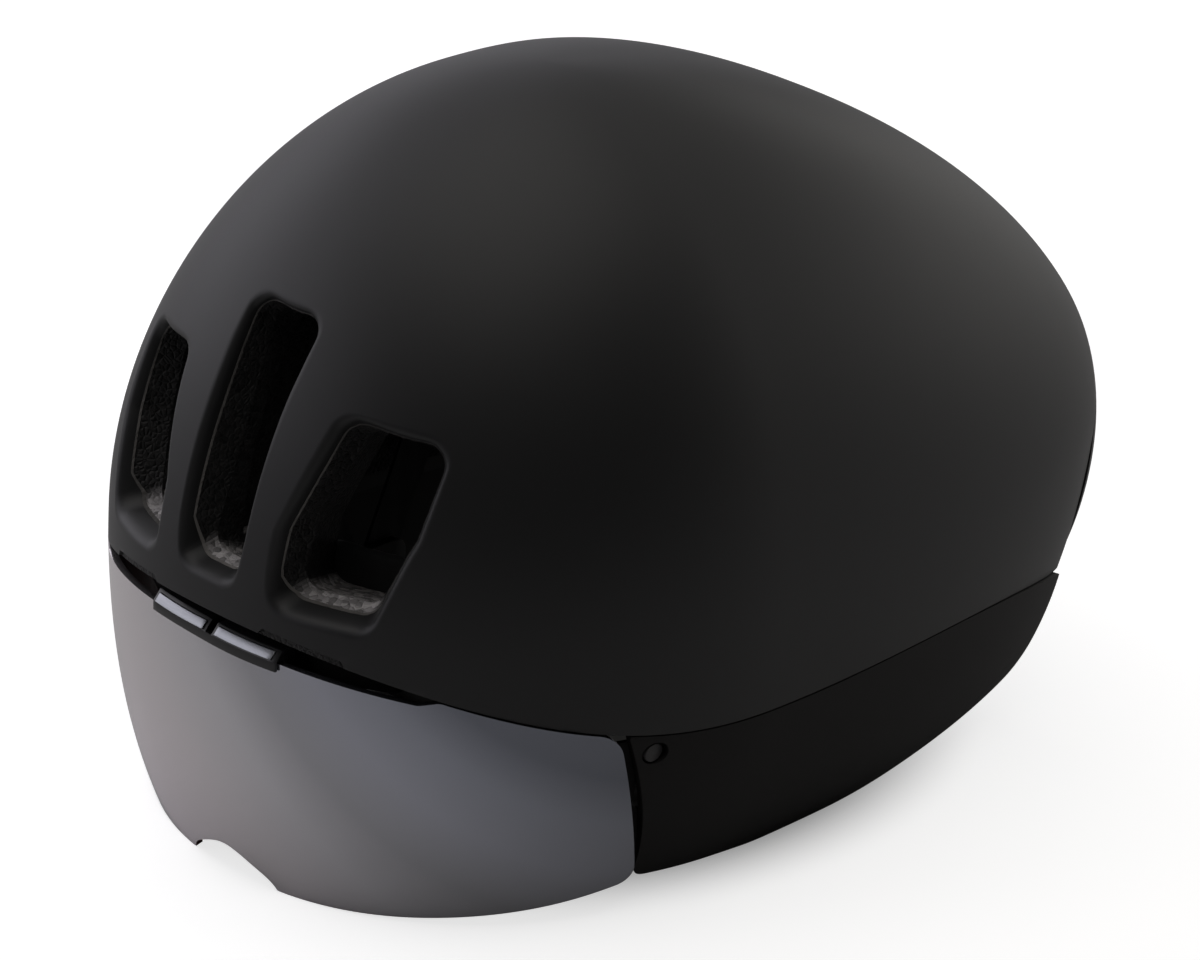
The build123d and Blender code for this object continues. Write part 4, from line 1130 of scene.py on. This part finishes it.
@dataclass
class Lens(CurvedWall):
    """Mirror visor lens under the brow with its nose notch."""

    wall: float = 2.2
    low: float = -1.0
    high: float = 77.0
    turns: Pair = (-1.45, 1.45)
    columns: int = 260
    rows: int = 70
    middle: float = -33.5
    half_width: float = 102.5
    reach: float = 112.0
    chin_drop: float = 10.4
    chin_tuck_share: float = 0.137
    top_level: float = 76.0
    brow_power: float = 2.3
    chin_power: float = 2.15
    drop_power: float = 2.9
    rim_gap: float = 0.5
    brow_line: Pairs = ((-153.0, 76.5), (-128.0, 72.0), (-118.0, 76.0), (-60.0, 76.0))
    rear_top: Pair = (-88.0, 76.0)
    rear_foot: Pair = (-68.6, 11.5)
    foot_line: Pairs = ((-153.2, 0.0), (-133.2, 0.0), (-114.7, 2.3), (-88.6, 6.67), (-68.6, 11.5))
    foot_slope: float = 0.24
    corner: float = 5.0
    nose_half_width: float = 16.8
    nose_height: float = 9.2
    nose_shares: Pairs = ((-1.02, -0.4), (-0.98, 0.1), (-0.62, 0.62), (0.0, 1.0), (0.62, 0.62),
                          (0.98, 0.1), (1.02, -0.4))

    def place(self, turn: float, z: float) -> Vector:
        """Find a point of the outer face."""
        depth = max((self.top_level - z) / self.top_level, 0.0)
        half = self.half_width * (1 - self.chin_tuck_share * depth**2)
        reach = self.reach - self.chin_drop * depth**self.drop_power
        power = 2 / (self.brow_power + (self.chin_power - self.brow_power) * min(depth, 1.0))
        across, ahead = half * bend(sin(turn), power), reach * bend(cos(turn), power)
        return Vector((across, self.middle - ahead, z))

    def keep(self, places: np.ndarray) -> np.ndarray:
        """Distance of places inside the lens's outline."""
        x, y, z = places.T
        brow = np.interp(y, *np.array(self.brow_line).T)
        top = np.minimum(brow, RIM.height(y) - self.rim_gap) - z
        foot = z - SmoothLine(self.foot_line, self.foot_slope).height(y)
        run = (Vector(self.rear_foot) - Vector(self.rear_top)).normalized()
        rear = (y - self.rear_top[0]) * run.y - (z - self.rear_top[1]) * run.x
        sides = np.minimum(*(round_corner(edge, rear, self.corner) for edge in (foot, top)))
        size = np.array((self.nose_half_width, self.nose_height))
        nose = smooth_curve(np.array(self.nose_shares) * size)
        return np.minimum(sides, -inside_distance(nose, x, z))

    def build(self) -> None:
        """Make the lens and place it."""
        place_piece("lens_mirror", self.sheet(), Finish.LENS, Body.VISOR, ("visor_lens",))


@dataclass
class RailTab(Lens):
    """Thin dark tab of the cover rail that closes the slit between the lens and the ear cover, a
    sheet that stands in for the shade seen through the slit.
    """

    wall: float = 1.3
    low: float = 8.0
    high: float = 60.0
    columns: int = 160
    rows: int = 24
    rounding: float = 0.3
    half_width: float = 98.6
    reach: float = 108.1
    # Painted shade: the outline fills the slit between the lens and the ear cover where only shade
    # shows.
    corners: Pairs = ((-90.0, 57.0), (-73.0, 57.0), (-73.0, 34.0), (-66.0, 34.0), (-61.0, 13.5),
                      (-72.5, 13.5))
    corner_radii: tuple[float, ...] = (3.0, 1.0, 0.8, 2.0, 4.0, 4.0)

    def keep(self, places: np.ndarray) -> np.ndarray:
        """Distance of places inside the tab's outline on the wearer's left."""
        x, y, z = places.T
        inside = inside_distance(Outline(self.corners, self.corner_radii).points(), y, z)
        return np.minimum(inside, x)

    def build(self) -> None:
        """Make both tabs and place them."""
        for side in Side:
            place_piece(f"rail_tab_{side.word}", self.sheet(side), Finish.COVER, Body.HELMET)


@dataclass
class EarCover(CurvedWall):
    """Soft ear cover on the wearer's left, which carries the shell's side down past the ear."""

    wall: float = 3.0
    low: float = -1.0
    high: float = 66.0
    turns: Pair = (1.05, 2.95)
    columns: int = 240
    rows: int = 70
    rounding: float = 0.7
    base_level: float = 57.0
    tuck_share: float = 0.225
    rim_gap: float = 0.5
    corners: Pairs = ((-82.0, 65.55), (-64.5, 8.4), (-12.0, 0.0), (32.0, 0.0), (102.0, 20.0),
                      (116.0, 46.0), (116.0, 65.55))
    corner_radii: tuple[float, ...] = (0.0, 8.0, 60.0, 90.0, 20.0, 8.0, 0.0)
    stud: Pair = (-72.5, 54.0)
    stud_hole: Pair = (3.95, 3.2)

    def place(self, turn: float, z: float) -> Vector:
        """Find a point of the outer face."""
        point = EGG.place(turn, self.base_level)
        depth = max((self.base_level - z) / self.base_level, 0.0)
        return Vector((point.x * (1 - self.tuck_share * depth**2), point.y, z))

    def keep(self, places: np.ndarray) -> np.ndarray:
        """Distance of places inside the cover's outline."""
        _, y, z = places.T
        outline = Outline(self.corners, self.corner_radii).points()
        inside = np.minimum(inside_distance(outline, y, z), RIM.height(y) - self.rim_gap - z)
        along, up = ((v - at) / half for v, at, half in zip((y, z), self.stud, self.stud_hole))
        hole = np.hypot(along, up) - 1
        return np.minimum(inside, hole * min(self.stud_hole))

    def build(self) -> None:
        """Make both covers and place them."""
        for side, body in ((Side.LEFT, Body.COVER_LEFT), (Side.RIGHT, Body.COVER_RIGHT)):
            node = f"ear_cover_{side.word}"
            place_piece(f"{node}_panel", self.sheet(side), Finish.COVER, body, (node,))


@dataclass(frozen=True)
class SewnPad:
    """Comfort pad: a fabric cover that swells round thin foam between its sewn channels."""

    node: str
    body: Body
    channels: tuple[float, ...]
    fill: float = 0.6
    inset: float = 0.8
    voxel: float = 1.8
    pressure: float = 4.0
    frames: int = 20
    cap: float = 1.1
    channel_depth: float = 1.0
    channel_width: float = 1.6

    def swell(self, piece: bpy.types.Object) -> None:
        """Remesh the cover evenly and let air pressure round it, no further than the cap."""
        remesh = piece.modifiers.new("remesh", "REMESH")
        remesh.mode = "VOXEL"
        remesh.voxel_size = self.voxel * MM
        self.apply(piece)
        rest = np.array([v.co for v in piece.data.vertices])
        cloth = piece.modifiers.new("cloth", "CLOTH")
        cloth.settings.use_pressure = True
        cloth.settings.uniform_pressure_force = self.pressure
        cloth.settings.effector_weights.gravity = 0.0
        cloth.point_cache.frame_start, cloth.point_cache.frame_end = 1, self.frames
        for step in range(1, self.frames + 1):
            bpy.context.scene.frame_set(step)
        self.apply(piece)
        bpy.context.scene.frame_set(1)
        moved = np.array([v.co for v in piece.data.vertices]) - rest
        length = np.maximum(np.linalg.norm(moved, axis=1), TINY)
        share = np.minimum(1.0, self.cap * MM / length)
        piece.data.vertices.foreach_set("co", (rest + moved * share[:, None]).ravel())

    @staticmethod
    def apply(piece: bpy.types.Object) -> None:
        """Keep the shape that the modifiers give and remove them."""
        graph = bpy.context.evaluated_depsgraph_get()
        made = bpy.data.meshes.new_from_object(piece.evaluated_get(graph))
        piece.modifiers.clear()
        piece.data = made

    def sew(self, mesh: bpy.types.Mesh) -> None:
        """Draw the cover in along its channels, which cross the pad's longest side."""
        low, high = (np.array(corner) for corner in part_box(self.node))
        axis = int((high - low).argmax())
        middles = [low[axis] + share * (high[axis] - low[axis]) for share in self.channels]
        width = self.channel_width * MM
        for vert in mesh.vertices:
            drawn = sum(exp(-(((vert.co[axis] - middle) / width) ** 2)) for middle in middles)
            vert.co -= vert.normal * (drawn * self.channel_depth * MM)

    def build(self) -> None:
        """Make the pad and place it."""
        bm = copy_solid(self.node)
        bmesh.ops.recalc_face_normals(bm, faces=bm.faces)
        bm.normal_update()
        for vert, normal in [(v, v.normal.copy()) for v in bm.verts]:
            vert.co -= normal * self.inset
        piece = place_piece(self.node + "_sewn", bm, Finish.PAD, self.body, (self.node,))
        self.swell(piece)
        self.sew(piece.data)
        piece.data.materials.clear()
        piece.data.materials.append(finish_material(Finish.PAD))
        piece.data.shade_smooth()
        smooth = piece.modifiers.new("smooth", "SUBSURF")
        smooth.levels = smooth.render_levels = 1


@dataclass
class Studio:
    """Floor, soft light and the camera at the photograph's place."""

    azimuth: float = 43.933
    elevation: float = 23.942
    roll: float = 3.186
    distance: float = 1.6161
    target: Triple = (0.0, 0.0012, 0.07936)
    lens: float = 170.46
    sensor: float = 36.0
    near: float = 0.05
    floor_half: float = 6.0
    floor_grey: float = 0.55
    floor_glow: float = 0.75
    # Painted shadow: size and fade of the ellipse under the helmet inside which the floor's glow to
    # the camera dies away.
    shade: Pair = (0.085, 0.105)
    painted_shadow_places: Pair = (0.7, 1.25)
    world_light: float = 0.02
    cool: Triple = (0.95, 0.93, 1.0)
    warm: Triple = (1.0, 0.975, 0.945)
    lamps: tuple[tuple[str, Triple, Pair, float], ...] = (
        ("overhead", (0.0, 0.0, 2.6), (3.0, 3.0), 31.0),
        ("back_wall", (0.4, 3.6, 1.2), (5.0, 2.4), 37.0),
        ("left_wall", (-2.8, -0.8, 1.2), (2.6, 2.2), 26.0),
        ("left_back", (-3.0, 1.6, 1.3), (3.0, 2.4), 18.0),
        ("top_left", (-1.7, 0.0, 2.2), (2.2, 2.2), 4.0),
        ("front_left", (-1.6, -2.6, 1.3), (1.6, 1.6), 12.0),
    )

    def camera(self) -> None:
        """Create the camera."""
        az, el, ro = radians(self.azimuth), radians(self.elevation), radians(self.roll)
        back = Vector((cos(el) * sin(az), -cos(el) * cos(az), sin(el)))
        level = Vector((cos(az), sin(az), 0))
        upright = back.cross(level)
        right = level * cos(ro) + upright * sin(ro)
        up = upright * cos(ro) - level * sin(ro)
        data = bpy.data.cameras.new("camera")
        data.lens = self.lens
        data.sensor_width = self.sensor
        data.clip_start = self.near
        camera = add_object("camera", data)
        turn = Matrix((right, up, back)).transposed().to_4x4()
        camera.matrix_world = Matrix.Translation(Vector(self.target) + back * self.distance) @ turn
        bpy.context.scene.camera = camera

    def lamp(self, name: str, place: Triple, size: Pair, power: float) -> None:
        """Add a soft box that faces the helmet."""
        data = bpy.data.lights.new(name, "AREA")
        data.shape = "RECTANGLE"
        data.size, data.size_y = size
        data.energy = power
        data.color = self.cool if place[0] < 0 else self.warm
        aim = (Vector(self.target) - Vector(place)).to_track_quat("-Z", "Y")
        add_object(name, data).matrix_world = Matrix.Translation(place) @ aim.to_matrix().to_4x4()

    def floor_material(self) -> Material:
        """Build the floor's look: white to the camera with a painted soft shadow under the helmet,
        and clear from below.
        """
        paint = Paint("floor_white")
        grey = self.floor_grey
        paint.finish(Base_Color=(grey, grey, grey, 1.0), Roughness=0.9, Specular_IOR_Level=0.1)
        # Painted shadow: the glow to the camera fades to none inside an ellipse under the helmet.
        inverse = (1 / self.shade[0], 1 / self.shade[1], 0.0)
        spread = paint.give("Vector", "Mapping", {"Scale": inverse, "Vector": paint.objects})
        away = paint.give("Value", "VectorMath", {0: spread}, operation="LENGTH")
        glow_with_painted_shadow = paint.span(away, 0.0, self.floor_glow, *self.painted_shadow_places, kind="SMOOTHSTEP")
        seen = paint.give("Is Camera Ray", "LightPath", {})
        strength = paint.give("Value", "Math", {0: seen, 1: glow_with_painted_shadow}, operation="MULTIPLY")
        glow = paint.give("Emission", "Emission", {"Color": WHITE, "Strength": strength})
        both = paint.give("Shader", "AddShader", {0: paint.shader.outputs[0], 1: glow})
        below = paint.give("Backfacing", "NewGeometry", {})
        clear = paint.give("BSDF", "BsdfTransparent", {})
        surface = paint.give("Shader", "MixShader", {0: below, 1: both, 2: clear})
        feed(paint.tree.nodes["Material Output"], {"Surface": surface})
        return paint.material

    def floor(self) -> None:
        """Lay the floor."""
        bm = bmesh.new()
        bmesh.ops.create_grid(bm, x_segments=1, y_segments=1, size=self.floor_half)
        floor = add_mesh("floor", bm, self.floor_material())

    def world(self) -> None:
        """Give the world soft grey light and a white look to the camera."""
        world = bpy.data.worlds.new("studio")
        bpy.context.scene.world = world
        world.use_nodes = True
        nodes = Nodes(world.node_tree)
        soft = nodes.tree.nodes["Background"]
        feed(soft, {"Color": WHITE, "Strength": self.world_light})
        white = nodes.give("Background", "Background", {"Color": WHITE})
        seen = nodes.give("Is Camera Ray", "LightPath", {})
        mix = nodes.give("Shader", "MixShader", {0: seen, 1: soft.outputs[0], 2: white})
        feed(nodes.tree.nodes["World Output"], {"Surface": mix})

    def build(self) -> None:
        """Set the stage."""
        self.camera()
        self.floor()
        self.world()
        for name, place, size, power in self.lamps:
            self.lamp(name, place, size, power)
        bpy.context.scene.view_settings.view_transform = "Standard"


SOLIDS: tuple[tuple[Finish, Body, float, str], ...] = (
    (Finish.FOAM, Body.HELMET, 0.0, "foam_brow foam_crown foam_tail foam_nape"),
    (Finish.TAIL, Body.HELMET, 0.4, "tail_cap"),
    (Finish.CLIP, Body.VISOR, 0.2, "visor_clip"),
    (Finish.INNER, Body.HELMET, 0.0, "brow_dock"),
    (Finish.FIT, Body.CRADLE, 0.3, "cradle"),
    (Finish.FIT, Body.CRADLE, 0.2, "height_strap"),
    (Finish.INNER, Body.HELMET, 0.2, "height_guide"),
    (Finish.FIT, Body.CRADLE, 0.3, "dial_housing"),
    (Finish.FIT, Body.DIAL, 0.0, "dial_pinion"),
    (Finish.DIAL, Body.DIAL, 0.4, "dial_knob"),
    (Finish.FIT, Body.BELT_LEFT, 0.0, "belt_left"),
    (Finish.FIT, Body.BELT_RIGHT, 0.0, "belt_right"),
    (Finish.WEBBING, Body.HELMET, 0.0, "chin_web_right"),
    (Finish.BUCKLE, Body.HELMET, 0.4, "buckle_socket"),
    (Finish.BUCKLE, Body.BUCKLE_TONGUE, 0.3, "buckle_tongue"),
)
PAIRS_OF_SOLIDS: tuple[tuple[Finish, Body, float, str], ...] = (
    (Finish.FOAM, Body.HELMET, 0.0, "foam_side"),
    (Finish.PLATE, Body.VISOR, 0.1, "clip_plate"),
    (Finish.STEEL, Body.HELMET, 0.2, "dock_magnet"),
    (Finish.INNER, Body.HELMET, 0.0, "cover_rail"),
    (Finish.STUD, Body.HELMET, 0.3, "cover_stud"),
    (Finish.INNER, Body.HELMET, 0.3, "front_anchor rear_anchor"),
    (Finish.WEBBING, Body.HELMET, 0.0, "front_web rear_web"),
    (Finish.INNER, Body.HELMET, 0.3, "divider"),
)


def main() -> None:
    """Build the studio and the helmet's pieces in order."""
    logging.basicConfig(level=logging.INFO, format="%(name)s: %(message)s")
    Studio().build()
    ShellSkin().build()
    Lens().build()
    EarCover().build()
    RailTab().build()
    for finish, body, rounding, names in SOLIDS:
        for name in names.split():
            dress_solid(name, finish, body, rounding)
    for finish, body, rounding, names in PAIRS_OF_SOLIDS:
        for name in (f"{stem}_{side.word}" for stem in names.split() for side in Side):
            dress_solid(name, finish, body, rounding)
    lay_chin_web()
    SewnPad("brow_pad", Body.HELMET, (0.2, 0.4, 0.6, 0.8)).build()
    for side in Side:
        SewnPad(f"crown_pad_{side.word}", Body.HELMET, (0.25, 0.5, 0.75)).build()
        SewnPad(f"cradle_pad_{side.word}", Body.CRADLE, (0.35, 0.65), inset=0.6, cap=0.8).build()


if __name__ == "__main__":
    main()
